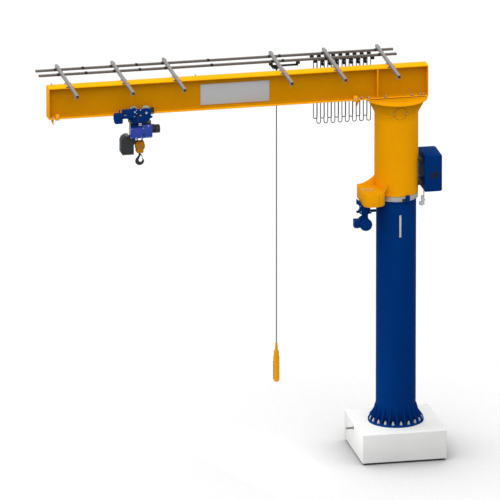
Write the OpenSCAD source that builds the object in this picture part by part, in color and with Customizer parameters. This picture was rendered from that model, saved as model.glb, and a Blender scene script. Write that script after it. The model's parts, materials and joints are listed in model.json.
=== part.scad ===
// Pillar-mounted slewing jib crane with an electric slewing drive, a chain hoist on an electric
// trolley, two festoon rails and a pendant control. All sizes are in millimetres.
// The origin is on the column axis at the underside of the foundation's bed, +Z is up, and the
// jib points along -X.

/* [Foundation] */
// Side of the square concrete block
block_side = 1200; // [1100:50:1600]
// Height of the concrete block above its bed
block_deep = 420; // [300:10:600]
// Chamfer along the block's edges
block_chamfer = 12; // [4:1:25]
// Height of the levelling bed under the block
bed_h = 30; // [20:5:60]
// Distance of the bed's edge inside the block's edge
bed_inset = 25; // [10:5:60]
// Diameter of the cable conduit in the block's side
conduit_d = 30; // [20:2:50]
// Length of the conduit outside the block
conduit_l = 109; // [60:1:200]

/* [Column] */
// Outer diameter of the column tube
column_d = 559; // [500:1:600]
// Wall of the column tube
column_wall = 10; // [6:1:16]
// Height of the turret's lower edge above the ground
turret_low = 3800; // [3400:10:4200]
// Diameter of the base flange
base_d = 780; // [740:10:860]
// Thickness of the base flange
base_t = 30; // [20:1:45]
// Number of anchor bolts, and of the gussets between them
anchor_count = 20; // [12:1:24]
// Diameter of the anchor bolts
anchor_d = 24; // [20:1:30]
// Distance from the base flange's edge to the anchor bolts' circle
anchor_edge = 34; // [30:1:38]
// Height of the gussets above the base flange
gusset_h = 225; // [150:5:400]
// Thickness of the gussets
gusset_t = 12; // [8:1:20]
// Diameter of the pivot post on top of the column
post_d = 120; // [90:5:160]

/* [Turret] */
// Outer diameter of the turret tube
turret_d = 610; // [605:1:680]
// Wall of the turret tube
turret_wall = 12; // [8:1:14]
// Height of the turret from its lower edge to the top of the head plate
turret_h = 1374; // [1300:10:1800]
// Diameter of the head plate
head_d = 870; // [800:10:1000]
// Thickness of the head plate
head_t = 20; // [15:1:35]
// Height of the flare under the head plate
flare_h = 195; // [120:5:260]
// Distance of the flare's top inside the head plate's edge
flare_lip = 25; // [10:1:40]
// Radius of the inspection cover
cover_r = 95; // [60:5:110]
// Free height between the turret and the track ring
ring_gap = 5; // [5:1:8]
// Height of the track ring
ring_h = 70; // [50:5:90]

/* [Jib] */
// Reach of the beam's tip from the column axis
reach = 4940; // [4400:20:5600]
// Length of the beam behind the column axis
tail = 435; // [400:5:600]
// Depth of the rolled beam
beam_h = 450; // [400:10:500]
// Width of the beam's flanges
beam_w = 190; // [180:5:210]
// Thickness of the flanges
flange_t = 14.6; // [12:0.1:18]
// Thickness of the web
web_t = 9.4; // [7:0.1:12]
// Radius between web and flange
beam_r = 21; // [10:1:24]
// Length of the sign plate
sign_l = 976; // [600:10:1200]
// Height of the sign plate
sign_h = 300; // [200:10:340]
// Distance from the column axis to the nearer end of the sign plate
sign_x = 1806; // [1500:10:2200]
// Distance from the beam's tip to the outer trolley stop
stop_inset = 120; // [110:10:300]
// Distance from the column axis to the inner trolley stop
stop_inner = 601; // [580:5:760]

/* [Festoon] */
// Size of the square C profile of the support arms
arm_s = 40; // [34:1:50]
// Length of an arm on the pendant's side, from the beam's middle
arm_far = 890; // [860:5:1000]
// Length of an arm on the other side
arm_near = 610; // [450:10:700]
// Size of the C profile of the festoon rails
rail_s = 32; // [28:1:36]
// Wall of both C profiles
profile_t = 2.5; // [2:0.1:3]
// Width of the slot in both C profiles
slot_w = 12; // [11:0.5:14]
// Distance of the nearer rail from the beam's middle
rail_near_y = 575; // [500:5:620]
// Distance of the farther rail from the beam's middle
rail_far_y = 805; // [760:5:840]
// Distance between two festoon carriages
loop_pitch = 101.4; // [92:0.1:112]
// Number of cable loops on each rail
loop_count = 8; // [6:1:8]
// Length of the longest hang of a loop below the rail
loop_drop = 934; // [700:10:1100]
// Diameter of the festoon cables
festoon_d = 12; // [10:0.5:13]

/* [Slewing drive] */
// Height of the slewing drive's housing
housing_h = 180; // [150:5:220]
// Distance of the drive's axis from the column axis, along the jib
drive_x = 490; // [470:5:520]
// Distance of the drive's axis from the jib's middle
drive_y = 205; // [190:5:240]
// Diameter of the slewing gearbox
gearbox_d = 156; // [130:2:170]
// Height of the slewing gearbox
gearbox_h = 146; // [120:2:200]
// Diameter of the slewing motor
motor_d = 164; // [140:2:190]
// Length of the slewing motor
motor_l = 240; // [200:5:320]

/* [Cabinet] */
// Depth of the control cabinet, away from the turret
cabinet_x = 248; // [180:2:320]
// Width of the control cabinet
cabinet_y = 450; // [360:10:500]
// Height of the control cabinet
cabinet_z = 523; // [400:1:620]
// Distance between the turret and the cabinet
cabinet_gap = 56; // [30:1:90]
// Height of the cabinet's underside above the turret's lower edge
cabinet_rise = 22; // [10:1:60]

/* [Trolley and hoist] */
// Distance of the trolley's middle from the column axis, as parked
trolley_x = 3640; // [3200:20:3900]
// Distance of the trolley frame's middle from the hook's axis, towards the jib's tip
frame_shift = 20; // [0:2:30]
// Length of the trolley's side plates
plate_l = 306; // [280:2:340]
// Thickness of the side plates
plate_t = 12; // [8:1:16]
// Distance between the insides of the side plates
plate_gap = 250; // [240:2:270]
// Distance between the wheel axles
wheel_base = 172; // [160:2:200]
// Diameter of the wheels' treads
wheel_d = 104; // [90:1:110]
// Diameter of the wheels' axles
axle_d = 24; // [16:1:30]
// Length of the hoist body
hoist_l = 313; // [290:1:340]
// Height of the hoist body
hoist_h = 190; // [160:2:220]
// Width of the hoist body
hoist_w = 260; // [220:2:270]
// Distance from the beam's underside to the top of the hoist body
hoist_drop = 148; // [140:1:190]
// Across-flats size of the hoist motor's octagonal cover
cover_w = 120; // [100:1:150]
// Length of the hoist motor's cover
cover_l = 126; // [90:1:160]
// Distance between the two chain falls
fall_gap = 70; // [60:1:76]
// Thickness of the chain's steel
chain_d = 9; // [6:0.5:11]
// Free length of the chain falls with the hook block raised
fall_l = 80; // [60:1:120]

/* [Hook] */
// Width of the hook block
hook_block_w = 118; // [110:1:130]
// Height of the hook block
hook_block_h = 162; // [155:1:220]
// Thickness of the hook block
hook_block_t = 90; // [80:1:110]
// Diameter of the hook's shank
shank_d = 28; // [20:1:32]
// Outer diameter of the hook's bowl
bowl_d = 128; // [120:1:140]
// Thickness of the hook
hook_t = 30; // [24:1:36]
// Diameter of the latch's pivot pin
latch_pin_d = 8; // [6:0.5:10]

/* [Pendant] */
// Distance of the pendant cable from the column axis, as parked
pendant_x = 1580; // [1500:2:1700]
// Distance between the two carriages of the pendant trolley
pendant_span = 384; // [340:2:420]
// Diameter of the pendant cable
pendant_d = 14; // [10:0.5:16]
// Height of the pendant station's underside above the ground
station_low = 932; // [850:2:1200]
// Height of the pendant station's case
station_h = 456; // [400:2:500]
// Width of the pendant station's case
station_w = 76; // [66:1:96]
// Thickness of the pendant station's case
station_t = 78; // [66:1:90]
// Length of the pendant's cable boot
boot_h = 118; // [80:2:200]

/* [Hidden] */
$fn = 64;

// Clearances.
seat_gap = 0.3;    // between pieces that rest on each other and move
run_gap = 0.05;    // radial, on a shaft
free_gap = 5;      // between pieces that pass each other

// Column and turret.
column_r = column_d / 2;
block_height = bed_h + block_deep;
conduit_drop = 84;
anchor_pcd = base_d - 2 * anchor_edge;
base_top = block_height + base_t;
ring_top = turret_low - ring_gap;
ring_low = ring_top - ring_h;
turret_r = turret_d / 2;
turret_bore = turret_r - turret_wall;
ring_r = turret_r;
beam_low = turret_low + turret_h;
head_low = beam_low - head_t;
cap_t = 30;
bearing_h = 74;
cap_top = head_low - bearing_h;
bearing_r = post_d / 2 + 60;
anchor_free = 46;
nut_h = 20;
washer_t = 4;
gusset_toe = 38;

// Stops of the slewing motion. Angles are from +X, and the jib is at 180 degrees.
stop_r = ring_r + 21;
stop_w = 42;
stop_h = 42;
stop_angle = 278.3;
dog_w = 56;
dog_angle = 288;
dog_h = 102;
dog_t = 24;

// Jib beam.
beam_top = beam_low + beam_h;
flange_top = beam_low + flange_t;
stiffener_x = 282;
stiffener_t = 12;
end_plate_t = 10;
sign_t = 4;
stop_l = 56;
stop_outer = reach - stop_inset;
rib_out = 36;      // the stops' hanging ribs, outward from the stop's middle
rib_w = 42;
rib_deep = 96;

// Festoon. The arms stand on a regular pitch between the first and the last, some of them left out.
arm_first = 91;
arm_inset = 300;
arm_pitch = (reach - arm_inset - arm_first) / 6;
arm_places = [for (step = [6, 4.96, 4, 2, 1, 0]) arm_first + step * arm_pitch];
arm_low = beam_top;
rail_low = arm_low - rail_s;
rail_outer = reach + 5;
rail_inner = 122;
coupler_places = [4280, 3520, 2500, 1490];
coupler_l = 34;
carriage_roller_r = 10;
carriage_w = 30;
carriage_l = 54;
carriage_h = 34;
neck_w = 6;
festoon_first = 1030;
saddle_bend = 24;
saddle_drop = 34;

// Slewing drive.
housing_low = ring_low;
housing_top = housing_low + housing_h;
recess_r = stop_r + free_gap + 1;
gearbox_top = housing_low;
gearbox_low = gearbox_top - gearbox_h;
gearbox_ear = 118;
motor_neck = 77;
motor_z = gearbox_low - motor_neck - motor_d / 2;
housing_side = 60;      // the housing's plan, from the drive's axis and from the jib's middle
housing_front = 271;
housing_back = 45;
housing_waist = [210, 222];
housing_foot = [88, 220];
nose_left_r = 110;
nose_right_r = 150;
nose_right = 26;
crest_h = 127;
crest_lip = 11;
rib_run = 150;
rib_rise = 82;
rib_t = 12;

// Trolley and hoist.
frame_x = trolley_x + frame_shift;
plate_low = beam_low - 124;
plate_high = beam_low + 88;
plate_in = plate_gap / 2;
plate_out = plate_in + plate_t;
wheel_r = wheel_d / 2;
wheel_z = flange_top + seat_gap + wheel_r;
wheel_rim = wheel_r + 7;
tread_in = beam_w / 2 - 32;
tread_out = beam_w / 2 - 2;
rim_in = beam_w / 2 + free_gap;
rim_out = rim_in + 8;
rod_r = 16;
rod_z = plate_low + 45;
rod_x = 70;
hoist_top = beam_low - hoist_drop;
hoist_low = hoist_top - hoist_h;
buffer_l = 25;
travel_box_l = 106;
travel_motor_out = 234;
hook_block_top = hoist_low - fall_l;
hook_block_low = hook_block_top - hook_block_h;
bowl_r = bowl_d / 2;
bowl_z = hook_block_low - 124;
shank_r = shank_d / 2;
latch_z = bowl_z + bowl_r + 20;
latch_x = 22;

// Pendant.
pendant_top = rail_low - 116;
station_top = station_low + station_h;
boot_top = station_top + boot_h;
cable_ring_gap = 52;

// ---- helpers ----------------------------------------------------------------------------

// A bar of rectangular section between two corners.
module bar(low, high) {
    translate(low) cube(high - low);
}

// A plan outline raised from z_low to z_high.
module raised(z_low, z_high) {
    translate([0, 0, z_low]) linear_extrude(z_high - z_low) children();
}

// An outline in the XZ plane, given as [x, z] points, extruded from y_low to y_high.
module upright(y_low, y_high) {
    translate([0, y_high, 0]) rotate([90, 0, 0]) linear_extrude(y_high - y_low) children();
}

// A cylinder along Y from y_low to y_high.
module cross_rod(x, z, r, y_low, y_high, fn = 48) {
    translate([x, y_high, z]) rotate([90, 0, 0]) cylinder(r = r, h = y_high - y_low, $fn = fn);
}

// Rectangle with rounded corners, centred.
module rounded_plate(w, h, r) {
    union() {
        square([w - 2 * r, h], center = true);
        square([w, h - 2 * r], center = true);
        for (sx = [-1, 1]) for (sy = [-1, 1])
            translate([sx * (w / 2 - r), sy * (h / 2 - r)]) circle(r = r, $fn = 32);
    }
}

// C profile, open at the bottom, centred on the origin's X with its underside on Y = 0.
module c_profile(s) {
    difference() {
        translate([-s / 2, 0]) square(s);
        translate([-s / 2 + profile_t, profile_t]) square(s - 2 * profile_t);
        translate([-slot_w / 2, -1]) square([slot_w, profile_t + 2]);
    }
}

// Unit direction of a route at its point i.
function heading(route, i) =
    let (a = route[max(i - 1, 0)], b = route[min(i + 1, len(route) - 1)], d = b - a) d / norm(d);

// A tube swept along a route of [x, z] points that lies in the plane y.
module swept_cable(route, y, r, sides = 8) {
    count = len(route);
    points = [for (i = [0 : count - 1]) let (d = heading(route, i), n = [-d[1], d[0]])
        for (k = [0 : sides - 1]) let (a = 360 * k / sides)
            [route[i][0] + r * cos(a) * n[0], y + r * sin(a), route[i][1] + r * cos(a) * n[1]]];
    walls = [for (i = [0 : count - 2]) for (k = [0 : sides - 1]) let (m = (k + 1) % sides)
        [i * sides + k, i * sides + m, (i + 1) * sides + m, (i + 1) * sides + k]];
    first = [for (k = [sides - 1 : -1 : 0]) k];
    last = [for (k = [0 : sides - 1]) (count - 1) * sides + k];
    polyhedron(points, concat(walls, [first, last]), convexity = 10);
}

// ---- mast -------------------------------------------------------------------------------

module block_profile() {
    s = block_side / 2;
    c = block_chamfer;
    polygon([[-s, bed_h], [s, bed_h], [s, block_height - c], [s - c, block_height],
        [-s + c, block_height], [-s, block_height - c]]);
}

module foundation_block() {
    color("gainsboro") intersection() {
        upright(-block_side / 2, block_side / 2) block_profile();
        rotate([0, 0, 90]) upright(-block_side / 2, block_side / 2) block_profile();
    }
}

// The thin bed of dark mortar that levels the block.
module foundation_bed() {
    s = block_side / 2 - bed_inset;
    color("dimgray") bar([-s, -s, 0], [s, s, bed_h]);
}

// A pipe with a collar that brings the supply cable to the block.
module cable_conduit() {
    collar_l = 16;
    z = block_height - conduit_drop;
    color("gray") translate([-block_side / 2, 0, z]) rotate([0, -90, 0]) difference() {
        union() {
            cylinder(d = conduit_d, h = conduit_l, $fn = 48);
            translate([0, 0, conduit_l - collar_l]) cylinder(d = conduit_d + 10, h = collar_l, $fn = 48);
        }
        translate([0, 0, 12]) cylinder(d = conduit_d - 6, h = conduit_l, $fn = 48);
    }
}

module at_anchors(offset = 0) {
    for (i = [0 : anchor_count - 1]) rotate([0, 0, (i + offset) * 360 / anchor_count]) children();
}

module base_flange() {
    color("navy") difference() {
        translate([0, 0, block_height]) cylinder(d = base_d, h = base_t, $fn = 128);
        translate([0, 0, block_height - 1]) cylinder(r = column_r - 60, h = base_t + 2);
        at_anchors() translate([anchor_pcd / 2, 0, block_height - 1])
            cylinder(d = anchor_d + 3, h = base_t + 2, $fn = 32);
    }
}

// One rib between column and base flange. Above an upright toe its outer edge falls back in a hollow line.
module gusset() {
    foot = base_d / 2 - 8;
    tip = column_r + 8;
    reach = foot - column_r;
    upright(-gusset_t / 2, gusset_t / 2)
        polygon([[column_r - 12, base_top], [foot, base_top], [foot - 3, base_top + gusset_toe],
            [column_r + 0.64 * reach, base_top + gusset_toe + 0.22 * (gusset_h - gusset_toe)],
            [column_r + 0.33 * reach, base_top + gusset_toe + 0.50 * (gusset_h - gusset_toe)],
            [tip, base_top + gusset_h], [column_r - 12, base_top + gusset_h]]);
}

module gussets() {
    color("navy") difference() {
        at_anchors(0.5) gusset();
        translate([0, 0, base_top - 1]) cylinder(r = column_r, h = gusset_h + 2, $fn = 128);
    }
}

module anchor_bolt() {
    translate([0, 0, block_height]) cylinder(d = anchor_d, h = base_t + anchor_free, $fn = 24);
    translate([0, 0, base_top]) cylinder(d = anchor_d * 1.9, h = washer_t, $fn = 32);
    translate([0, 0, base_top + washer_t]) cylinder(d = anchor_d * 1.65, h = nut_h, $fn = 6);
}

module anchor_bolts() {
    color("silver") at_anchors() translate([anchor_pcd / 2, 0, 0]) anchor_bolt();
}

module column_tube() {
    color("navy") difference() {
        translate([0, 0, base_top]) cylinder(r = column_r, h = cap_top - cap_t - base_top, $fn = 128);
        translate([0, 0, base_top - 1])
            cylinder(r = column_r - column_wall, h = cap_top - cap_t - base_top + 2, $fn = 128);
    }
}

module pivot_post() {
    color("navy") union() {
        translate([0, 0, cap_top - cap_t]) cylinder(r = column_r, h = cap_t, $fn = 128);
        translate([0, 0, cap_top - 1]) cylinder(d = post_d, h = bearing_h - 9);
    }
}

module track_ring() {
    color("silver") difference() {
        translate([0, 0, ring_low]) cylinder(r = ring_r, h = ring_h, $fn = 128);
        translate([0, 0, ring_low - 1]) cylinder(r = column_r, h = ring_h + 2, $fn = 128);
    }
}

module slew_stop() {
    color("dimgray") rotate([0, 0, stop_angle]) difference() {
        bar([ring_r - 10, -stop_w / 2, ring_low], [stop_r, stop_w / 2, ring_low + stop_h]);
        rotate([0, 0, -stop_angle]) translate([0, 0, ring_low - 1])
            cylinder(r = ring_r, h = ring_h + 2, $fn = 128);
    }
}

// A narrow cover strip on the column, over the cable outlet.
module cable_cover() {
    strip_w = 28;
    strip_top = ring_low - 202;
    strip_l = 320;
    color("gainsboro") rotate([0, 0, 269.7]) difference() {
        bar([column_r - 6, -strip_w / 2, strip_top - strip_l], [column_r + 6, strip_w / 2, strip_top]);
        translate([0, 0, strip_top - strip_l - 1]) cylinder(r = column_r, h = strip_l + 2, $fn = 128);
    }
}

// ---- turret -----------------------------------------------------------------------------

// Outline of the turret's outside from its lower edge up through the flare, grown by grow.
function turret_side(grow) = concat(
    [[turret_r + grow, turret_low]],
    [[turret_r + grow, head_low - flare_h], [head_d / 2 - flare_lip + grow, head_low]]);

module turret() {
    color("goldenrod") rotate_extrude($fn = 128)
        polygon(concat([[turret_bore, turret_low]], turret_side(0), [[turret_bore, head_low]]));
}

// The round cover of the inspection opening, curved with the turret and its flare.
module inspection_cover() {
    cover_z = head_low - 134;
    color("goldenrod") rotate([0, 0, 267.8]) intersection() {
        translate([0, 0, cover_z]) rotate([0, 90, 0]) cylinder(r = cover_r, h = head_d);
        rotate_extrude($fn = 128) difference() {
            polygon(concat([[turret_bore, turret_low]], turret_side(4), [[turret_bore, head_low - 2]]));
            polygon(concat([[turret_bore - 1, turret_low - 1]], turret_side(0),
                [[turret_bore - 1, head_low]]));
        }
    }
}

module head_plate() {
    color("goldenrod") difference() {
        union() {
            translate([0, 0, head_low]) cylinder(d = head_d, h = head_t, $fn = 128);
            translate([0, 0, cap_top + seat_gap]) cylinder(r = bearing_r, h = bearing_h);
        }
        translate([0, 0, cap_top - 1])
            cylinder(r = post_d / 2 + run_gap, h = bearing_h + head_t - 4);
    }
}

// Points of an arc about a middle, counter-clockwise between two angles.
function arc(middle, r, from, to) = [for (a = [from : 15 : to]) middle + r * [cos(a), sin(a)]];

// Plan of the slewing drive's housing: square to the jib, with a rounded nose.
module housing_plan() {
    left = drive_x + housing_side;
    front = drive_y + housing_front;
    right = housing_waist[0] + nose_right;
    polygon(concat([[-housing_waist[0], housing_back], [-left, housing_back]],
        arc([-left + nose_left_r, -front + nose_left_r], nose_left_r, 180, 270),
        arc([-right - nose_right_r, -front + nose_right_r], nose_right_r, 270, 360),
        [[-housing_waist[0], -housing_waist[1]], [-housing_foot[0], -housing_foot[1]]]));
}

module slew_housing() {
    color("goldenrod") difference() {
        union() {
            raised(housing_low, housing_top) housing_plan();
            upright(housing_back - rib_t, housing_back)
                polygon(concat([[-turret_r + rib_t, housing_top - rib_t],
                        [-drive_x - housing_side, housing_top - rib_t]],
                    [for (t = [0 : 1 / 6 : 1.01])
                        [-drive_x - housing_side + (drive_x + housing_side - turret_r) * t,
                         housing_top + crest_lip + (crest_h - crest_lip) * t * t]],
                    [[-turret_r + rib_t, housing_top + crest_h]]));
            rotate([0, 0, 235]) upright(-rib_t / 2, rib_t / 2)
                polygon([[turret_r - rib_t, housing_top - rib_t], [turret_r + rib_run, housing_top - rib_t],
                    [turret_r + rib_run, housing_top], [turret_r, housing_top + rib_rise],
                    [turret_r - rib_t, housing_top + rib_rise]]);
        }
        translate([0, 0, turret_low]) cylinder(r = turret_r, h = housing_h + 200, $fn = 128);
        translate([0, 0, housing_low - 1]) cylinder(r = recess_r, h = ring_h + ring_gap + 1, $fn = 128);
    }
}

module slew_gearbox() {
    ear = 24;
    color("midnightblue") translate([-drive_x, -drive_y, 0]) union() {
        translate([0, 0, gearbox_low]) cylinder(d = gearbox_d, h = gearbox_h, $fn = 64);
        raised(gearbox_top - 22, gearbox_top) rounded_plate(gearbox_d + 50, gearbox_d + 50, 20);
        raised(gearbox_low, gearbox_low + 24) rounded_plate(gearbox_d + 10, gearbox_d + 10, 20);
        for (z = [gearbox_low, gearbox_top - 22])
            bar([-gearbox_ear, -ear, z], [0, ear, z + 22]);
        bar([-gearbox_ear, -ear, gearbox_top - 22], [-gearbox_ear + 14, ear, gearbox_top + 46]);
        bar([60, -ear, gearbox_low + 2], [gearbox_d / 2 + 82, ear, gearbox_low + 28]);
    }
}

module slew_motor() {
    box_l = 120;
    color("midnightblue") translate([-drive_x, -drive_y, 0]) union() {
        cross_rod(0, motor_z, motor_d / 2, -motor_l / 2, motor_l / 2, 64);
        cross_rod(0, motor_z, motor_d / 2 + 6, -motor_l / 2 + 24, -motor_l / 2 + 40, 64);
        translate([0, 0, motor_z]) cylinder(d = 92, h = gearbox_low - motor_z);
        bar([-motor_d / 2 - 73, -box_l / 2, motor_z - 52], [-motor_d / 2 + 30, box_l / 2, motor_z + 62]);
    }
}

// The block on the turret that meets the stop on the track ring.
module slew_dog() {
    low = ring_low - 14;
    color("navy") rotate([0, 0, dog_angle]) difference() {
        bar([turret_r - 10, -dog_w / 2, low], [stop_r + 10, dog_w / 2, low + dog_h]);
        rotate([0, 0, -dog_angle]) {
            translate([0, 0, turret_low]) cylinder(r = turret_r, h = dog_h, $fn = 128);
            translate([0, 0, low - 1]) cylinder(r = ring_r + free_gap, h = turret_low - low + 1, $fn = 128);
        }
    }
}

// ---- jib --------------------------------------------------------------------------------

// Half of the space between web and flanges, on one side, as a YZ outline with rounded roots.
module beam_space() {
    deep = beam_w / 2 + 1;
    root = web_t / 2 + beam_r;
    low = flange_t + beam_r;
    high = beam_h - flange_t - beam_r;
    polygon(concat(
        [[deep, flange_t]],
        [for (a = [270 : -15 : 180]) [root + beam_r * cos(a), low + beam_r * sin(a)]],
        [for (a = [180 : -15 : 90]) [root + beam_r * cos(a), high + beam_r * sin(a)]],
        [[deep, beam_h - flange_t]]));
}

// Extrudes a YZ outline along X between two places.
module along_x(x_low, x_high) {
    translate([x_low, 0, 0]) rotate([90, 0, 90]) linear_extrude(x_high - x_low) children();
}

module jib_beam() {
    color("goldenrod") translate([0, 0, beam_low]) along_x(-reach + end_plate_t, tail - end_plate_t)
        difference() {
            translate([-beam_w / 2, 0]) square([beam_w, beam_h]);
            beam_space();
            mirror([1, 0]) beam_space();
        }
}

// Full-depth stiffeners over the head plate's edge, and the plates that close the beam's two ends.
module web_stiffeners() {
    cut = 30;
    color("goldenrod") {
        for (side = [-1, 1])
            translate([-stiffener_x - stiffener_t / 2, 0, beam_low]) rotate([90, 0, 90])
                linear_extrude(stiffener_t) scale([side, 1])
                    polygon([[web_t / 2, flange_t + cut], [web_t / 2 + cut, flange_t],
                        [beam_w / 2 - 2, flange_t], [beam_w / 2 - 2, beam_h - flange_t],
                        [web_t / 2 + cut, beam_h - flange_t], [web_t / 2, beam_h - flange_t - cut]]);
        for (x = [-reach, tail - end_plate_t])
            translate([0, 0, beam_low]) along_x(x, x + end_plate_t)
                translate([0, beam_h / 2]) rounded_plate(beam_w, beam_h, 8);
    }
}

// A trolley stop clamped to the lower flange. The side with the hanging rib faces away.
module end_stop(x, away) {
    jaw_t = 9;
    jaw_high = flange_top + 54;
    plate_z = beam_low - 15;
    color("goldenrod") translate([-x, 0, 0]) union() {
        bar([-stop_l / 2, -beam_w / 2 - jaw_t, plate_z], [stop_l / 2, beam_w / 2 + jaw_t, beam_low]);
        for (side = [-1, 1]) scale([1, side, 1]) {
            bar([-stop_l / 2, beam_w / 2, plate_z], [stop_l / 2, beam_w / 2 + jaw_t, jaw_high]);
            bar([-stop_l / 2, beam_w / 2 - 32, flange_top], [stop_l / 2, beam_w / 2 + 1, jaw_high]);
        }
        bar([min(0, away * (rib_out + rib_w)), -40, plate_z], [max(0, away * (rib_out + rib_w)), 40, beam_low]);
        upright(-6, 6) polygon([[away * rib_out, plate_z + 1], [away * (rib_out + rib_w), plate_z + 1],
            [away * (rib_out + rib_w), plate_z - 6], [away * (rib_out + 6), plate_z - rib_deep],
            [away * rib_out, plate_z - rib_deep]]);
    }
}

module end_stop_outer() {
    end_stop(stop_outer, -1);
}

module end_stop_inner() {
    end_stop(stop_inner, 1);
}

module sign_plate() {
    low = beam_low + 52;
    spacer = 6;
    color("silver") union() {
        translate([-sign_x - sign_l / 2, -web_t / 2 - spacer, low + sign_h / 2]) rotate([90, 0, 0])
            linear_extrude(sign_t) rounded_plate(sign_l, sign_h, 6);
        for (sx = [-1, 1]) for (sz = [-1, 1])
            cross_rod(-sign_x - sign_l / 2 + sx * (sign_l / 2 - 40), low + sign_h / 2 + sz * (sign_h / 2 - 30),
                12, -web_t / 2 - spacer - 1, -web_t / 2, 24);
    }
}

// ---- festoon ----------------------------------------------------------------------------

module support_arms() {
    color("gray") for (x = arm_places)
        translate([-x, arm_far, arm_low]) rotate([90, 0, 0])
            linear_extrude(arm_far + arm_near) c_profile(arm_s);
}

module festoon_rail(y) {
    color("gray") translate([0, y, rail_low]) along_x(-rail_outer, rail_inner) c_profile(rail_s);
}

// Hangers that clamp a rail under an arm, couplers between rail lengths, and the rails' end caps.
module rail_fittings() {
    lip = 5;
    color("dimgray") for (y = [rail_near_y, rail_far_y]) {
        for (x = coupler_places)
            difference() {
                bar([-x - coupler_l / 2, y - rail_s / 2 - lip, rail_low + 4],
                    [-x + coupler_l / 2, y + rail_s / 2 + lip, arm_low + lip]);
                bar([-x - coupler_l, y - rail_s / 2, rail_low + 3], [-x + coupler_l, y + rail_s / 2, arm_low]);
            }
        for (x = arm_places)
            bar([-x + arm_s / 2, y - rail_s / 2, arm_low], [-x + arm_s / 2 + 8, y + rail_s / 2, arm_low + arm_s]);
        for (x = [-rail_outer - 4, rail_inner])
            bar([x, y - rail_s / 2, rail_low], [x + 4, y + rail_s / 2, arm_low]);
    }
}

// A carriage that hangs in a rail: rollers inside the profile, a neck through its slot, a block.
module carriage(x, y, z_low) {
    roller_z = rail_low + profile_t + seat_gap + carriage_roller_r;
    for (dx = [-13, 13]) cross_rod(x + dx, roller_z, carriage_roller_r, y - rail_s / 2 + 5, y + rail_s / 2 - 5, 24);
    bar([x - 22, y - neck_w / 2, rail_low - 6], [x + 22, y + neck_w / 2, roller_z + 2]);
    bar([x - carriage_l / 2, y - carriage_w / 2, z_low], [x + carriage_l / 2, y + carriage_w / 2, rail_low - 5]);
}

saddle_z = rail_low - 5 - carriage_h - saddle_drop;
// The cable's arc over a saddle is drawn with straight pieces, so the saddle keeps inside them.
saddle_step = 60;
saddle_r = saddle_bend * cos(saddle_step / 2) - festoon_d / 2 - seat_gap;

// Festoon carriages with a saddle that the cable is laid over.
module festoon_carriages() {
    color("dimgray") for (y = [rail_near_y, rail_far_y]) for (i = [0 : loop_count]) {
        x = -festoon_first + i * loop_pitch;
        union() {
            carriage(x, y, rail_low - 5 - carriage_h);
            if (i > 0 && i < loop_count) {
                cross_rod(x, saddle_z, saddle_r, y - 9, y + 10, 24);
                bar([x - 11, y + 9, saddle_z - 12], [x + 11, y + 13, rail_low - 5 - carriage_h + 1]);
            }
        }
    }
}

// One cable: out of the first carriage, a loop between each two carriages, into the last one.
loop_r = (loop_pitch - 2 * saddle_bend) / 2;
loop_z = rail_low - loop_drop + loop_r + festoon_d / 2;
festoon_route = concat(
    [[-festoon_first + saddle_bend, rail_low - 5 - carriage_h]],
    [for (i = [0 : loop_count - 1]) let (x = -festoon_first + (i + 0.5) * loop_pitch)
        each concat(
            [for (a = [180 : 36 : 360]) [x + loop_r * cos(a), loop_z + loop_r * sin(a)]],
            i == loop_count - 1 ? [] : [for (a = [180 : -saddle_step : 0])
                [x + loop_pitch / 2 + saddle_bend * cos(a), saddle_z + saddle_bend * sin(a)]])],
    [[-festoon_first + loop_count * loop_pitch - saddle_bend, rail_low - 5 - carriage_h]]);

module festoon_cable(y) {
    color("black") swept_cable(festoon_route, y, festoon_d / 2);
}

// ---- cabinet ----------------------------------------------------------------------------

cabinet_low = turret_low + cabinet_rise;
cabinet_back = turret_r + cabinet_gap;
door_t = 22;

module control_cabinet() {
    color("navy") union() {
        translate([cabinet_back, 0, cabinet_low]) raised(0, cabinet_z)
            translate([(cabinet_x - door_t) / 2, 0]) rounded_plate(cabinet_x - door_t, cabinet_y, 5);
    }
}

module cabinet_door() {
    color("navy") translate([cabinet_back + cabinet_x - door_t, 0, cabinet_low + 4]) raised(0, cabinet_z - 8)
        translate([door_t / 2, 0]) rounded_plate(door_t, cabinet_y - 8, 4);
}

// Two welded rails that carry the cabinet on the turret.
module cabinet_brackets() {
    color("goldenrod") difference() {
        for (z = [cabinet_low + 70, cabinet_low + cabinet_z - 120])
            bar([turret_r - 60, -110, z], [cabinet_back, 110, z + 50]);
        translate([0, 0, turret_low]) cylinder(r = turret_r, h = turret_h - head_t - flare_h, $fn = 128);
    }
}

// The slewing limit switch, hung on a bent bar under the cabinet.
module limit_switch() {
    x = cabinet_back + 5;
    y = -cabinet_y / 2 + 100;
    color("silver") union() {
        bar([x - 5, y - 12, cabinet_low - 90], [x + 5, y + 12, cabinet_low]);
        bar([x - 36, y - 18, cabinet_low - 170], [x + 6, y + 18, cabinet_low - 80]);
        bar([x - 64, y - 18, cabinet_low - 211], [x + 6, y + 18, cabinet_low - 166]);
        bar([x, y - 10, cabinet_low - 154], [x + 20, y + 10, cabinet_low - 132]);
        cross_rod(x - 30, cabinet_low - 211, 14, y - 9, y + 9, 32);
    }
}

// ---- trolley and hoist ------------------------------------------------------------------

module side_plate() {
    half = plate_l / 2;
    polygon([[-half, plate_high - 24], [-half + 24, plate_high], [half - 24, plate_high],
        [half, plate_high - 24], [half, plate_low + 74], [half - 74, plate_low], [-half + 74, plate_low],
        [-half, plate_low + 74]]);
}

module at_wheels() {
    for (sx = [-1, 1]) for (sy = [-1, 1])
        translate([sx * wheel_base / 2, 0, wheel_z]) scale([1, sy, 1]) children();
}

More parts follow.
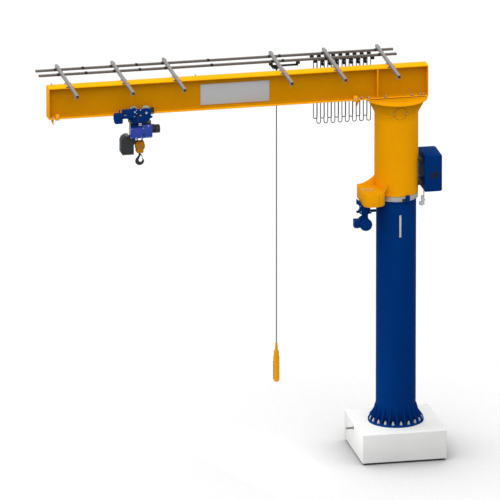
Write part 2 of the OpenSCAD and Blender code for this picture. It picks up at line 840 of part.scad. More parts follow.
module trolley_frame() {
    color("navy") translate([-frame_x, 0, 0]) union() {
        for (side = [-1, 1]) scale([1, side, 1]) upright(plate_in, plate_out) side_plate();
        at_wheels() rotate([-90, 0, 0]) translate([0, 0, tread_in])
            cylinder(d = axle_d, h = plate_out - tread_in, $fn = 48);
        for (x = [-rod_x, rod_x]) cross_rod(x, rod_z, rod_r, -plate_out - 14, plate_out + 14, 32);
    }
}

module trolley_buffers() {
    z = beam_low - 40;
    color("dimgray") translate([-frame_x, 0, 0]) for (sx = [-1, 1]) for (sy = [-1, 1])
        translate([sx * plate_l / 2, sy * (plate_in - 16), z]) rotate([0, sx * 90, 0]) union() {
            cylinder(r = 16, h = buffer_l, $fn = 32);
            translate([-20, -16, -30]) cube([40, 32, 31]);
        }
}

module wheel(sx, sy) {
    color("silver") translate([-frame_x + sx * wheel_base / 2, 0, wheel_z]) scale([1, sy, 1])
        rotate([-90, 0, 0]) difference() {
            union() {
                translate([0, 0, tread_in]) cylinder(r = wheel_r, h = rim_in - tread_in, $fn = 64);
                translate([0, 0, rim_in]) cylinder(r = wheel_rim, h = rim_out - rim_in, $fn = 64);
            }
            translate([0, 0, tread_in - 1])
                cylinder(r = axle_d / 2 + run_gap, h = rim_out - tread_in + 2, $fn = 48);
        }
}

module travel_gearbox() {
    color("navy") translate([-frame_x, 0, 0]) union() {
        bar([-plate_l / 2 - travel_box_l, -plate_out - 60, beam_low - 21],
            [-plate_l / 2 + 52, -plate_out, beam_low + 100]);
        cross_rod(-wheel_base / 2, wheel_z, 46, -plate_out - 52, -plate_out, 48);
    }
}

module travel_motor() {
    left = plate_l / 2 + travel_motor_out;
    z = beam_low + 1;
    color("navy") translate([-frame_x, 0, 0]) union() {
        translate([-left + 58, -plate_out - 74, z]) rotate([90, 0, 0])
            linear_extrude(60) rounded_plate(116, 134, 22);
        translate([-left + 58, -plate_out - 10, z]) rotate([90, 0, 0])
            linear_extrude(66) rounded_plate(104, 110, 30);
        translate([-left + 76, -plate_out - 94, z + 60]) cylinder(r = 9, h = 62, $fn = 24);
        bar([-left + 100, -plate_out - 56, z - 5], [-plate_l / 2 - travel_box_l, -plate_out - 14, z + 55]);
    }
}

// The cradle between the trolley's cross rods and the hoist body.
module hoist_suspension() {
    top = rod_z + 26;
    color("dimgray") translate([-trolley_x, 0, 0]) difference() {
        union() {
            for (y = [-66, 54]) upright(y, y + 12)
                polygon([[-150, hoist_top], [150, hoist_top], [150, hoist_top + 30],
                    [rod_x + 28 - frame_shift, top], [-rod_x - 28 - frame_shift, top], [-150, hoist_top + 30]]);
            bar([-150, -66, hoist_top], [150, 66, hoist_top + 10]);
            bar([-24, -100, hoist_top], [24, -60, hoist_top + 34]);
        }
        for (x = [-rod_x, rod_x]) cross_rod(x - frame_shift, rod_z, rod_r, -70, 70, 32);
    }
}

// The case has a shallow gear side at its outer end.
module hoist_body() {
    half = hoist_l / 2;
    step = 40;
    gear_x = -60;
    gear_y = -hoist_w / 2 + 90;
    color("slateblue") translate([-trolley_x, 0, 0]) union() {
        upright(-hoist_w / 2, hoist_w / 2)
            polygon([[gear_x, hoist_low], [half - 8, hoist_low], [half, hoist_low + 8],
                [half, hoist_top - 26], [half - 12, hoist_top], [12, hoist_top], [8, hoist_top - step],
                [gear_x, hoist_top - step]]);
        upright(-hoist_w / 2, gear_y)
            polygon([[-half, hoist_low + 8], [-half + 8, hoist_low], [gear_x + 1, hoist_low],
                [gear_x + 1, hoist_top - step], [-half + 8, hoist_top - step], [-half, hoist_top - step - 8]]);
        bar([-half + 14, -hoist_w / 2 + 24, hoist_top - step - 1], [12, gear_y - 6, hoist_top]);
        bar([gear_x + 10, gear_y - 7, hoist_top - step - 1], [12, hoist_w / 2 - 24, hoist_top]);
    }
}

module hoist_motor() {
    z = hoist_low + hoist_h / 2 - 8;
    color("dimgray") translate([-trolley_x + hoist_l / 2, 0, z]) rotate([0, 90, 0]) union() {
        rotate([0, 0, 22.5]) cylinder(d = cover_w / cos(22.5), h = cover_l - 12, $fn = 8);
        rotate([0, 0, 22.5]) translate([0, 0, cover_l - 13]) cylinder(d = (cover_w - 16) / cos(22.5), h = 13, $fn = 8);
    }
}

module chain_container() {
    half = 66;
    top = hoist_low + 32;
    color("dimgray") translate([-trolley_x - hoist_l / 2, 0, top]) difference() {
        upright(-half, half)
            polygon([[0, -8], [-58, -8], [-98, -36], [-118, -78], [-118, -250], [-98, -284], [62, -284],
                [62, -148], [86, -118], [86, -33], [0, -33]]);
        upright(-half + 6, half - 6)
            polygon([[60, -32], [80, -39], [80, -116], [56, -146], [56, -276], [-94, -276], [-110, -248],
                [-110, -80], [-66, -41], [10, -41], [10, -32]]);
    }
}

module chain_falls() {
    color("gray") for (side = [-1, 1])
        translate([-trolley_x + side * fall_gap / 2, 0, hook_block_top]) cylinder(d = chain_d * 1.6, h = fall_l, $fn = 24);
}

// ---- hook -------------------------------------------------------------------------------

module hook_block() {
    half = hook_block_w / 2;
    low = hook_block_low;
    waist = 52;
    color("orange") translate([-trolley_x, 0, 0]) difference() {
        union() {
            upright(-hook_block_t / 2, hook_block_t / 2)
                polygon([[-half + 8, low + waist], [-half + 8, low + 12], [-half + 20, low], [half - 24, low],
                    [half - 12, low + 12], [half - 12, low + waist],
                    [half + 8, low + waist + 26], [half + 8, low + waist + 70], [half, low + waist + 84],
                    [half, hook_block_top - 8], [half - 8, hook_block_top], [-half + 8, hook_block_top],
                    [-half, hook_block_top - 8], [-half, low + waist + 8]]);
            cross_rod(0, hook_block_top - 66, 20, -hook_block_t / 2 - 5, hook_block_t / 2 + 5, 32);
        }
        translate([0, 0, low - 1]) cylinder(r = shank_r + run_gap, h = 61, $fn = 48);
    }
}

// Outline of the hook in the XZ plane, around the bowl's middle: a thick back, a round bowl
// that runs out into the tip, and an eccentric throat.
throat_r = 30;
throat_x = 9;
throat_z = 8;
module hook_outline() {
    difference() {
        union() {
            circle(r = bowl_r, $fn = 96);
            polygon([[-58, 24], [-shank_r, bowl_r + 12], [-shank_r, bowl_r + 30], [shank_r, bowl_r + 30],
                [shank_r, bowl_r + 4], [0, 30], [-30, 0]]);
        }
        translate([throat_x, throat_z]) circle(r = throat_r, $fn = 64);
        polygon([[throat_x, throat_z + throat_r], [throat_x - 4, bowl_r - 4], [shank_r + 1, bowl_r + 2],
            [bowl_r + 6, bowl_r + 2], [bowl_r + 6, 12], [throat_x + throat_r - 1, 8], [throat_x, throat_z]]);
    }
}

module hook() {
    color("dimgray") translate([-trolley_x, 0, 0]) union() {
        translate([0, 0, bowl_z]) upright(-hook_t / 2, hook_t / 2) hook_outline();
        translate([0, 0, bowl_z + bowl_r + 20]) cylinder(r = shank_r, h = hook_block_low + 55 - bowl_z - bowl_r - 20, $fn = 48);
        bar([0, -hook_t / 2, latch_z - 8], [latch_x + 2, hook_t / 2, latch_z + 8]);
        cross_rod(latch_x, latch_z, latch_pin_d / 2, -hook_t / 2 - 4, hook_t / 2 + 4, 32);
    }
}

// The sprung latch: two cheeks on the pivot pin and a tongue down to the hook's tip.
module latch() {
    cheek = hook_t / 2 + seat_gap;
    tongue = 2.5;
    reach_x = 34;
    reach_z = latch_z - bowl_z - 14;
    color("silver") translate([-trolley_x + latch_x, 0, latch_z]) difference() {
        union() {
            for (side = [-1, 1]) scale([1, side, 1]) upright(cheek, cheek + tongue)
                polygon([[-10, -8], [-8, 9], [8, 10], [12, 0], [reach_x * 0.55, -reach_z * 0.45], [6, -reach_z * 0.4]]);
            upright(-cheek - tongue, cheek + tongue)
                polygon([[13, -24], [17, -24], [reach_x - 8, -reach_z], [reach_x - 13, -reach_z]]);
        }
        cross_rod(0, 0, latch_pin_d / 2 + run_gap, -cheek - 10, cheek + 10, 32);
    }
}

// ---- pendant ----------------------------------------------------------------------------

module pendant_trolley() {
    low = rail_low - 5 - carriage_h;
    x_out = -pendant_x - 80;
    x_in = x_out + pendant_span;
    color("dimgray") union() {
        carriage(x_out, rail_near_y, low);
        carriage(x_in, rail_near_y, low);
        bar([x_out, rail_near_y - 10, low - 24], [x_in, rail_near_y + 10, low + 2]);
        bar([x_out + 20, rail_near_y - 26, low - 50], [-pendant_x + 28, rail_near_y + 26, low - 20]);
        translate([-pendant_x, rail_near_y, pendant_top]) cylinder(r = 16, h = low - 45 - pendant_top, $fn = 32);
    }
}

module pendant_cable() {
    rings = ceil((pendant_top - boot_top) / cable_ring_gap);
    step = (pendant_top - boot_top) / rings;
    color("black") swept_cable([for (i = [0 : rings]) [-pendant_x, pendant_top - i * step]],
        rail_near_y, pendant_d / 2);
}

module pendant_station() {
    shoulder = 88;
    neck_t = station_t - 12;
    neck_w = station_w - 12;
    color("gold") translate([-pendant_x, rail_near_y, 0]) union() {
        raised(station_low + 30, station_top - shoulder) rounded_plate(station_t, station_w, 16);
        hull() {
            raised(station_top - shoulder, station_top - shoulder + 1) rounded_plate(station_t, station_w, 16);
            raised(station_top - shoulder + 14, station_top - shoulder + 15) rounded_plate(neck_t, neck_w, 16);
        }
        raised(station_top - shoulder + 14, station_top - 14) rounded_plate(neck_t, neck_w, 16);
        hull() {
            raised(station_top - 15, station_top - 14) rounded_plate(neck_t, neck_w, 16);
            translate([0, 0, station_top]) cylinder(r = 22, h = 4, $fn = 32);
        }
        hull() {
            raised(station_low + 30, station_low + 31) rounded_plate(station_t, station_w, 16);
            raised(station_low, station_low + 1) rounded_plate(station_t - 26, station_w - 34, 16);
        }
        hull() {
            translate([0, 0, station_top + 3]) cylinder(r = 22, h = 2, $fn = 32);
            translate([0, 0, boot_top - 2]) cylinder(r = pendant_d / 2 + 6, h = 2, $fn = 32);
        }
    }
}

// ---- assembly ---------------------------------------------------------------------------

foundation_bed();
cable_conduit();
foundation_block();
base_flange();
gussets();
anchor_bolts();
column_tube();
pivot_post();
track_ring();
slew_stop();
cable_cover();
turret();
inspection_cover();
head_plate();
slew_housing();
slew_gearbox();
slew_motor();
slew_dog();
jib_beam();
web_stiffeners();
end_stop_outer();
end_stop_inner();
sign_plate();
support_arms();
festoon_rail(rail_near_y);  // rail_near
festoon_rail(rail_far_y);  // rail_far
rail_fittings();
festoon_carriages();
festoon_cable(rail_near_y);  // festoon_cable_near
festoon_cable(rail_far_y);  // festoon_cable_far
control_cabinet();
cabinet_door();
cabinet_brackets();
limit_switch();
trolley_frame();
trolley_buffers();
wheel(-1, -1);  // wheel_1
wheel(1, -1);  // wheel_2
wheel(-1, 1);  // wheel_3
wheel(1, 1);  // wheel_4
travel_gearbox();
travel_motor();
hoist_suspension();
hoist_body();
hoist_motor();
chain_container();
chain_falls();
hook_block();
hook();
latch();
pendant_trolley();
pendant_cable();
pendant_station();
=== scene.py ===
# %% [markdown]
# # Dressing a pillar jib crane
# The crane comes in as plain solids from a CAD program: a concrete block, a blue column, a yellow
# turret with its jib, a hoist on a trolley and a pendant on festoon rails. They could be drawn again
# from nothing, but then the two models would drift apart. So this lesson loads the solids as a fixed
# frame, dresses each one with a finish, and puts finer pieces where a plain solid isn't enough.

# %% Loading the frame
import bpy, bmesh, json
import numpy as np
from math import cos, sin, pi, radians, sqrt, hypot
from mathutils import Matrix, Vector


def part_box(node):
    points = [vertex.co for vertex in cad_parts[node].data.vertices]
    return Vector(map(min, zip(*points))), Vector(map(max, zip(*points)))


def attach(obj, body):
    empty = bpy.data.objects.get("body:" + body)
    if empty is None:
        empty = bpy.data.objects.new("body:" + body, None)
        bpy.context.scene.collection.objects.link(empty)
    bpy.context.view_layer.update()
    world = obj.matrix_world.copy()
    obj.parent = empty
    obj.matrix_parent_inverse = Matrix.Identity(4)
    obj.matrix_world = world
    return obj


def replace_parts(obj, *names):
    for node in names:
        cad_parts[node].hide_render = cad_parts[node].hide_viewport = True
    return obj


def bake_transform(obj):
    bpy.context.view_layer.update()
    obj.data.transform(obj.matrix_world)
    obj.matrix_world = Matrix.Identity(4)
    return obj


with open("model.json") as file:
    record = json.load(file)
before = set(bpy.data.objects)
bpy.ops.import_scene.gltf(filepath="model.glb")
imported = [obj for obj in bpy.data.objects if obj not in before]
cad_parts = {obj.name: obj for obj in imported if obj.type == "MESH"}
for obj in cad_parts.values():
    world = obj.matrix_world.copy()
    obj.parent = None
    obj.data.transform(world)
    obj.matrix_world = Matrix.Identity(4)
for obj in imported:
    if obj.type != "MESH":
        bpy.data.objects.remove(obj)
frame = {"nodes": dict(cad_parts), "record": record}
scene = bpy.context.scene
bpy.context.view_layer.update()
body_of = {node: body for body, nodes in frame["record"]["behaviour"]["bodies"].items() for node in nodes}
slot_of = {part["node"]: part["material_slot"] for part in frame["record"]["subparts"]}

# %% [markdown]
# ## The camera
# A crane is long and tall, and a near camera would draw one end of its jib larger than the other. A
# camera with a very long lens, far away, shows it almost without perspective. It looks down a little
# from the jib's side, so that the block's top and the festoon rails behind the beam are both seen.

# %% Camera far away with a long lens
turn, tilt, away = radians(11.88), radians(17.77), 300.0
aim = Vector((-1.987, 0.4286, 2.9268))
look = Vector((sin(turn) * cos(tilt), cos(turn) * cos(tilt), -sin(tilt)))
camera = bpy.data.objects.new("camera", bpy.data.cameras.new("camera"))
camera.data.sensor_width, camera.data.lens = 36.0, 1551.84
camera.data.clip_start, camera.data.clip_end = 1.0, 1000.0
camera.location = aim - look * away
camera.rotation_euler = look.to_track_quat("-Z", "Y").to_euler()
scene.collection.objects.link(camera)
scene.camera = camera
print("camera at", [round(c, 1) for c in camera.location])

# %% [markdown]
# ## The cables
# Three cables hang from the rails behind the jib. Two festoon cables run along the jib: each is laid
# over small carriages and hangs between them in long loops. The third one carries the pendant. A cable
# is a curve with a round section, because a curve keeps its length known and its bends smooth. The
# curves follow the same routes as the solids. The loops ride on the jib and keep their shape, which is
# a simplification: on a real crane they open and close when the trolley travels.

# %% Routes of the festoon cables
rail_low, rail_near_y, rail_far_y = 5.592, 0.575, 0.805
first_carriage, loop_pitch, loop_count = -1.030, 0.1014, 8
saddle_bend, loop_bend = 0.024, 0.0267
saddle_z, loop_z, block_z = 5.519, 4.6907, 5.553

def festoon_route(y):
    spots = [(first_carriage + saddle_bend, block_z)]
    for i in range(loop_count):
        middle = first_carriage + (i + 0.5) * loop_pitch
        spots += [(middle + loop_bend * cos(radians(a)), loop_z + loop_bend * sin(radians(a)))
                  for a in range(180, 361, 15)]
        if i < loop_count - 1:
            spots += [(middle + loop_pitch / 2 + saddle_bend * cos(radians(a)),
                       saddle_z + saddle_bend * sin(radians(a))) for a in range(180, -1, -15)]
    spots.append((first_carriage + loop_count * loop_pitch - saddle_bend, block_z))
    return [Vector((x, y, z)) for x, z in spots]

def route_length(route):
    return sum((b - a).length for a, b in zip(route, route[1:]))

print("one festoon cable is", round(route_length(festoon_route(rail_near_y)), 2), "m long")

# %% Cables as curves
def cable(name, route, thickness, body, node):
    line = bpy.data.curves.new(name, "CURVE")
    line.dimensions, line.bevel_depth, line.bevel_resolution, line.use_fill_caps = "3D", 1.0, 3, True
    spline = line.splines.new("POLY")
    spline.points.add(len(route) - 1)
    for point, place in zip(spline.points, route):
        point.co, point.radius = (*place, 1.0), thickness / 2
    spline.use_smooth = True
    piece = bpy.data.objects.new(name, line)
    scene.collection.objects.link(piece)
    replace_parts(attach(piece, body), node)
    print(name, round(route_length(route), 3), "m")
    return piece

cables = {}
for side, y in (("near", rail_near_y), ("far", rail_far_y)):
    route = festoon_route(y)
    cables[side] = cable("festoon_loops_" + side, route, 0.012, "jib", "festoon_cable_" + side)

# %% Cable of the pendant
pendant_x, pendant_top, boot_top = -1.580, 5.476, 1.506
pendant_route = [Vector((pendant_x, rail_near_y, pendant_top + (boot_top - pendant_top) * i / 20))
                 for i in range(21)]
cables["pendant"] = cable("pendant_line", pendant_route, 0.014, "pendant", "pendant_cable")

# %% [markdown]
# ## Arithmetic on sockets
# A finish is a small formula: a base tone, a little darker where a slow noise is high, rougher where
# the dust lies. Written node by node such a formula is long. A thin class that wraps a socket and
# answers to +, -, * and %, also with a plain number in front, keeps the formula readable, and one method
# adds every other node.

# %% A socket that can be added and multiplied
class Signal:
    def __init__(self, recipe, socket):
        self.recipe, self.socket, self.node = recipe, socket, socket.node

    def other(self, name):
        return Signal(self.recipe, self.node.outputs[name])

    def _math(self, operation, *terms):
        return self.recipe.add("ShaderNodeMath", {"operation": operation}, dict(enumerate(terms)))

    def __add__(self, other):
        return self._math("ADD", self, other)

    def __radd__(self, other):
        return self._math("ADD", other, self)

    def __sub__(self, other):
        return self._math("SUBTRACT", self, other)

    def __rsub__(self, other):
        return self._math("SUBTRACT", other, self)

    def __mul__(self, other):
        return self._math("MULTIPLY", self, other)

    def __rmul__(self, other):
        return self._math("MULTIPLY", other, self)

    def __mod__(self, other):
        return self._math("MODULO", self, other)

    def __rmod__(self, other):
        return self._math("MODULO", other, self)

print("sockets answer to +, -, * and %")

# %% A node tree that is written like a recipe
class Recipe:
    def __init__(self, tree):
        self.tree = tree
        tree.nodes.clear()

    def add(self, kind, settings=None, inputs=None, out=0):
        node = self.tree.nodes.new(kind)
        for key, value in (settings or {}).items():
            setattr(node, key, value)
        for key, value in (inputs or {}).items():
            for item in value if isinstance(value, list) else [value]:
                if isinstance(item, Signal):
                    self.tree.links.new(item.socket, node.inputs[key])
                else:
                    node.inputs[key].default_value = item
        return Signal(self, node.outputs[out]) if node.outputs else node

    def noise(self, where, scale, detail, rough=0.5):
        return self.add("ShaderNodeTexNoise", None,
                        {"Vector": where, "Scale": scale, "Detail": detail, "Roughness": rough})

    def cells(self, where, scale, out="Distance"):
        return self.add("ShaderNodeTexVoronoi", None, {"Vector": where, "Scale": scale}, out=out)

    def band(self, value, low, high):
        return self.add("ShaderNodeMapRange", None, {"Value": value, "From Min": low, "From Max": high})

    def tint(self, factor, a, b):
        return self.add("ShaderNodeMix", {"data_type": "RGBA"}, {0: factor, 6: a, 7: b}, out=2)

    def bump(self, height, depth, strength):
        return self.add("ShaderNodeBump", None, {"Height": height, "Distance": depth, "Strength": strength})

print("node recipes can be written")

# %% Starting a finish and closing it with a surface
finishes = {}

def finish(name):
    """A new material by that name: its recipe, and the place on the piece that its pattern reads."""
    finishes[name] = bpy.data.materials.new(name)
    finishes[name].use_nodes = True
    recipe = Recipe(finishes[name].node_tree)
    return recipe, recipe.add("ShaderNodeTexCoord", out="Object")

def rgb(r, g, b, scale):
    return (r * scale, g * scale, b * scale, 1.0)

def surface(recipe, **sockets):
    shader = recipe.add("ShaderNodeBsdfPrincipled", None,
                        {key.replace("_", " "): value for key, value in sockets.items()})
    recipe.add("ShaderNodeOutputMaterial", None, {"Surface": shader})

print("recipes ready")

# %% [markdown]
# ## Paint
# Nearly all of the crane is sprayed enamel over blasted steel. Such paint is even from afar, but close
# by it has a slight orange peel, a slow change of tone where the coat is thicker, a film of dust that
# dulls the gloss, and tiny dark specks. One function makes every paint, and only its settings change.
# The reflection is kept weak, because these saturated colours would turn milky under a white studio.

# %% Sprayed enamel
def enamel(name, tone, mottle, gloss=0.42, peel=0.0003, shine=0.006, shade=None, painted_shade_factor=1.0):
    """A sprayed paint; shade is a mask of the places where shade is painted into its colour."""
    recipe, at = finish(name)
    slow, cloud = recipe.noise(at, 1.7, 4.0, 0.6), recipe.noise(at, 14.0, 3.0, 0.55)
    speck, skin = recipe.noise(at, 150.0, 2.0, 0.6), recipe.noise(at, 420.0, 2.0, 0.5)
    thick = recipe.band(slow * 0.5 + cloud * 0.3 + speck * 0.2, 0.36, 0.64)
    coat_tone = recipe.tint(thick, rgb(*tone, 1.0 - mottle), rgb(*tone, 1.0 + mottle * 0.6))
    dust = recipe.band(cloud * 0.6 + speck * 0.4, 0.50, 0.72)
    grime = recipe.band(speck * 0.7 + skin * 0.3, 0.66, 0.74)
    colour = recipe.tint(grime * 0.5, coat_tone, rgb(*tone, 0.62))
    # Painted shade: where the mask is high, the colour is multiplied down by the given factor.
    if shade:
        colour = recipe.add("ShaderNodeMix", {"data_type": "RGBA", "blend_type": "MULTIPLY"},
                            {0: shade(recipe, at), 6: colour, 7: (painted_shade_factor, painted_shade_factor, painted_shade_factor, 1.0)}, out=2)
    surface(recipe, Base_Color=colour, Roughness=gloss + slow * 0.10 + dust * 0.16,
            Normal=recipe.bump(skin * 0.7 + speck * 0.3, peel, 0.6), Specular_IOR_Level=shine)

yellow = (0.93, 0.385, 0.002)
enamel("crane_yellow", yellow, mottle=0.05)
enamel("mast_blue", (0.0005, 0.0274, 0.152), gloss=0.44, mottle=0.10)
enamel("hook_orange", (0.460, 0.170, 0.002), gloss=0.40, mottle=0.12)
enamel("hoist_violet", (0.036, 0.063, 0.335), gloss=0.42, mottle=0.07)
enamel("cover_grey", (0.48, 0.48, 0.47), gloss=0.44, mottle=0.05, shine=0.2)
enamel("black_steel", (0.020, 0.021, 0.026), gloss=0.46, mottle=0.22, peel=0.0006, shine=0.25)
print("paints:", ", ".join(finishes))

# %% [markdown]
# On the crane the web between the flanges, the tops of the head plate and of the drive's housing, and the
# flare under the head plate look darker than the open faces. That is shade, which this soft studio gives
# too weakly. Harder lamps would give it, but they would burn out the flanges. So the shade is painted into
# the colour there, which is a simplification: under another light those faces stay darker. The housing's
# yellow is also a painted shade darker all over. A mask says where, from the place on the crane or the
# face's direction, so it never depends on the view.

# %% Painted shade on the web, the flare and the tops under the jib
web_near, web_far, top_flange_low, top_flange_in = 0.025, 0.070, 5.612, 5.622
flare_from, flare_to = 4.860, 5.120

# Painted shade on the web: darker between the flanges, where the top flange shades it.
def between_flanges(recipe, at):
    """1 on the web and beside it, 0 on the flanges' edges and on the top flange."""
    spot = recipe.add("ShaderNodeSeparateXYZ", None, {"Vector": at})
    off = recipe.add("ShaderNodeMath", {"operation": "ABSOLUTE"}, {0: spot.other("Y")})
    return recipe.band(off, web_far, web_near) * recipe.band(spot.other("Z"), top_flange_in, top_flange_low)

# Painted shade on tops: faces that look up are darker, on the head plate and the housing under the jib.
def on_tops(recipe, at):
    """1 on faces that look up."""
    facing = recipe.add("ShaderNodeNewGeometry", out="Normal")
    return recipe.band(recipe.add("ShaderNodeSeparateXYZ", None, {"Vector": facing}).other("Z"), 0.5, 0.9)

# Painted shade on the flare, which faces down under the head plate.
def under_head(recipe, at):
    """0 low on the turret, rising to 1 just under the head plate."""
    height = recipe.add("ShaderNodeSeparateXYZ", None, {"Vector": at}).other("Z")
    return recipe.band(height, flare_from, flare_to)

# Shaded copies of the yellow: each darkens the paint where its mask says, as painted shade.
enamel("turret_yellow", yellow, mottle=0.05, shade=under_head, painted_shade_factor=0.62)
enamel("web_yellow", yellow, mottle=0.07, shade=between_flanges, painted_shade_factor=0.56)
enamel("sheltered_yellow", yellow, mottle=0.05, shade=on_tops, painted_shade_factor=0.74)
# The housing's yellow is darker all over as well as on its tops: painted shade.
enamel("housing_yellow", [0.86 * part for part in yellow], mottle=0.05, shade=on_tops, painted_shade_factor=0.80)
paint_slots = {name: "crane_yellow" for name in finishes if name.endswith("_yellow")}
paint_slots["rail_zinc"] = "galvanised"
print("shades of yellow:", ", ".join(name for name in paint_slots if name != "rail_zinc"))

# %% [markdown]
# ## Bare metals
# Galvanised strip shows spangle, flat crystals a few millimetres wide that differ in brightness. Zinc
# plated bolts are finer and a little yellow. The track ring and the wheels are turned and then polished
# by use, with fine lines round the axis. A metal lives from what it mirrors, so roughness varies too.

# %% Galvanised and plated steel
def crystals(name, tone, scale, spread, rough, metal):
    recipe, at = finish(name)
    flake = recipe.add("ShaderNodeSeparateColor", None, {"Color": recipe.cells(at, scale, "Color")})
    haze, grain = recipe.noise(at, 5.0, 4.0, 0.6), recipe.noise(at, 240.0, 2.0, 0.6)
    bright = recipe.band(flake * 0.5 + haze * 0.35 + grain * 0.15, 0.2, 0.8)
    surface(recipe, Base_Color=recipe.tint(bright, rgb(*tone, 1.0 - spread), rgb(*tone, 1.0 + spread)),
            Metallic=metal, Roughness=rough + bright * 0.16, Normal=recipe.bump(grain, 0.0002, 0.5),
            Specular_IOR_Level=0.3)

crystals("galvanised", (0.225, 0.210, 0.200), 160.0, 0.16, 0.38, 0.35)
crystals("rail_zinc", (0.160, 0.142, 0.130), 160.0, 0.20, 0.42, 0.35)
crystals("zinc", (0.45, 0.44, 0.42), 420.0, 0.12, 0.30, 0.45)
crystals("sign_grey", (0.42, 0.43, 0.44), 700.0, 0.05, 0.46, 0.15)
crystals("chain", (0.035, 0.035, 0.038), 300.0, 0.25, 0.36, 0.35)
print("crystal metals: galvanised, rail_zinc, zinc, sign_grey, chain")

# %% Turned and polished steel
recipe, at = finish("machined")
stretched = recipe.add("ShaderNodeMapping", None, {"Vector": at, "Scale": (3.0, 3.0, 900.0)})
lines = recipe.noise(stretched, 1.0, 3.0)
stain, oil = recipe.noise(at, 9.0, 4.0, 0.6), recipe.noise(at, 40.0, 3.0, 0.6)
film = recipe.band(stain * 0.7 + oil * 0.3, 0.45, 0.70)
surface(recipe, Base_Color=recipe.tint(film, (0.37, 0.375, 0.37, 1.0), (0.28, 0.28, 0.27, 1.0)), Metallic=0.4,
        Roughness=0.30 + lines * 0.16 + film * 0.12, Normal=recipe.bump(lines, 0.0002, 0.4))
print("metals added:", len(finishes), "finishes")

# %% [markdown]
# ## Plastics, rubber and concrete
# The covers and the festoon carriages are moulded, with the fine leather grain that moulds are etched
# with. The cable sheath is smooth along its length. Concrete is pale, cloudy and pitted with small air
# holes, and its bed of mortar is dark and coarse.

# %% Moulded covers, carriages, pendant, rubber and cable sheath
def moulded(name, tone, grain_scale, depth, rough, spread, shine=0.25):
    recipe, at = finish(name)
    grain, cloud = recipe.cells(at, grain_scale), recipe.noise(at, 11.0, 4.0, 0.6)
    wipe = recipe.noise(at, 65.0, 3.0, 0.6)
    fade = recipe.band(cloud * 0.7 + wipe * 0.3, 0.35, 0.68)
    surface(recipe, Base_Color=recipe.tint(fade, rgb(*tone, 1.0 - spread), rgb(*tone, 1.0 + spread)),
            Roughness=rough + fade * 0.12 + grain * 0.10, Normal=recipe.bump(grain, depth, 0.6),
            Specular_IOR_Level=shine)

moulded("vent_black", (0.008, 0.008, 0.009), 500.0, 0.0001, 0.60, 0.02)
moulded("dark_cover", (0.024, 0.025, 0.029), 700.0, 0.0003, 0.48, 0.16)
moulded("black_fitting", (0.012, 0.012, 0.013), 900.0, 0.0002, 0.46, 0.30)
moulded("pendant_yellow", (0.55, 0.225, 0.002), 900.0, 0.0002, 0.42, 0.05, shine=0.01)
moulded("button_red", (0.42, 0.012, 0.008), 900.0, 0.0001, 0.36, 0.05)
moulded("rubber", (0.018, 0.018, 0.018), 520.0, 0.0006, 0.62, 0.25)
moulded("cable", (0.012, 0.012, 0.013), 1300.0, 0.0001, 0.55, 0.20, shine=0.12)
print("plastics and rubber added:", len(finishes), "finishes")

# %% Concrete and mortar
def poured(name, pale, dull, pit_scale, depth):
    recipe, at = finish(name)
    cloud, sand = recipe.noise(at, 2.2, 6.0, 0.6), recipe.noise(at, 220.0, 3.0, 0.7)
    # The air holes are painted darker than the concrete round them: painted shade inside the holes.
    pits = recipe.band(recipe.cells(at, pit_scale), 0.10, 0.24)
    chance = recipe.band(recipe.noise(at, 7.0, 3.0), 0.50, 0.62)
    whole = 1.0 - (1.0 - pits) * chance
    tone = recipe.tint(recipe.band(cloud * 0.7 + sand * 0.3, 0.36, 0.66), dull, pale)
    colour = recipe.tint(whole, tuple(c * 0.80 for c in dull[:3]) + (1.0,), tone)
    surface(recipe, Base_Color=colour, Roughness=0.78 + sand * 0.12,
            Normal=recipe.bump(whole * 0.8 + sand * 0.2, depth, 0.6), Specular_IOR_Level=0.25)

poured("concrete", (0.68, 0.68, 0.675, 1.0), (0.63, 0.63, 0.625, 1.0), 42.0, 0.002)
poured("mortar", (0.060, 0.058, 0.055, 1.0), (0.030, 0.029, 0.028, 1.0), 90.0, 0.004)

for piece in cables.values():
    piece.data.materials.append(finishes["cable"])
print(len(finishes), "finishes:", ", ".join(sorted(finishes)))

# %% [markdown]
# ## Dressing the solids
# A rolled, welded or cast part has no razor edges: every corner catches a thin line of light. A CAD
# solid has sharp corners, so a copy of it gets its triangles merged to whole faces, a bevel of a
# millimetre or two, and smooth shading across shallow angles. The copy then stands for the solid.

# %% Settling a mesh as a piece of the crane
def settle(mesh, name, body, slot, nodes=(), angle=32.0, join=True):
    piece = bpy.data.objects.new(name, mesh)
    mesh.name = name
    scene.collection.objects.link(piece)
    mesh.shade_smooth()
    mesh.set_sharp_from_angle(angle=radians(angle))
    mesh.materials.clear()
    mesh.materials.append(finishes[slot])
    for face in mesh.polygons:
        face.material_index = 0
    if join:
        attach(piece, body)
    record_slot = paint_slots.get(slot, slot)
    record_slot in slot_of.values()
    if nodes:
        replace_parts(piece, *nodes)
    print(f"{name}: {len(mesh.polygons)} faces on {body}")
    return piece

def taken(carrier):
    """The plain mesh that an object's modifiers make; the object itself is removed."""
    graph = bpy.context.evaluated_depsgraph_get()
    mesh = bpy.data.meshes.new_from_object(carrier.evaluated_get(graph), depsgraph=graph)
    carrier.modifiers.clear()
    bpy.data.objects.remove(carrier)
    return mesh

def softened(mesh, width, segments):
    """The mesh with its sharp edges rounded, as a plain mesh."""
    if not width:
        return mesh
    carrier = bpy.data.objects.new("softening", mesh)
    scene.collection.objects.link(carrier)
    edge = carrier.modifiers.new("edge", "BEVEL")
    edge.width, edge.segments, edge.limit_method, edge.angle_limit = width, segments, "ANGLE", radians(35.0)
    return taken(carrier)

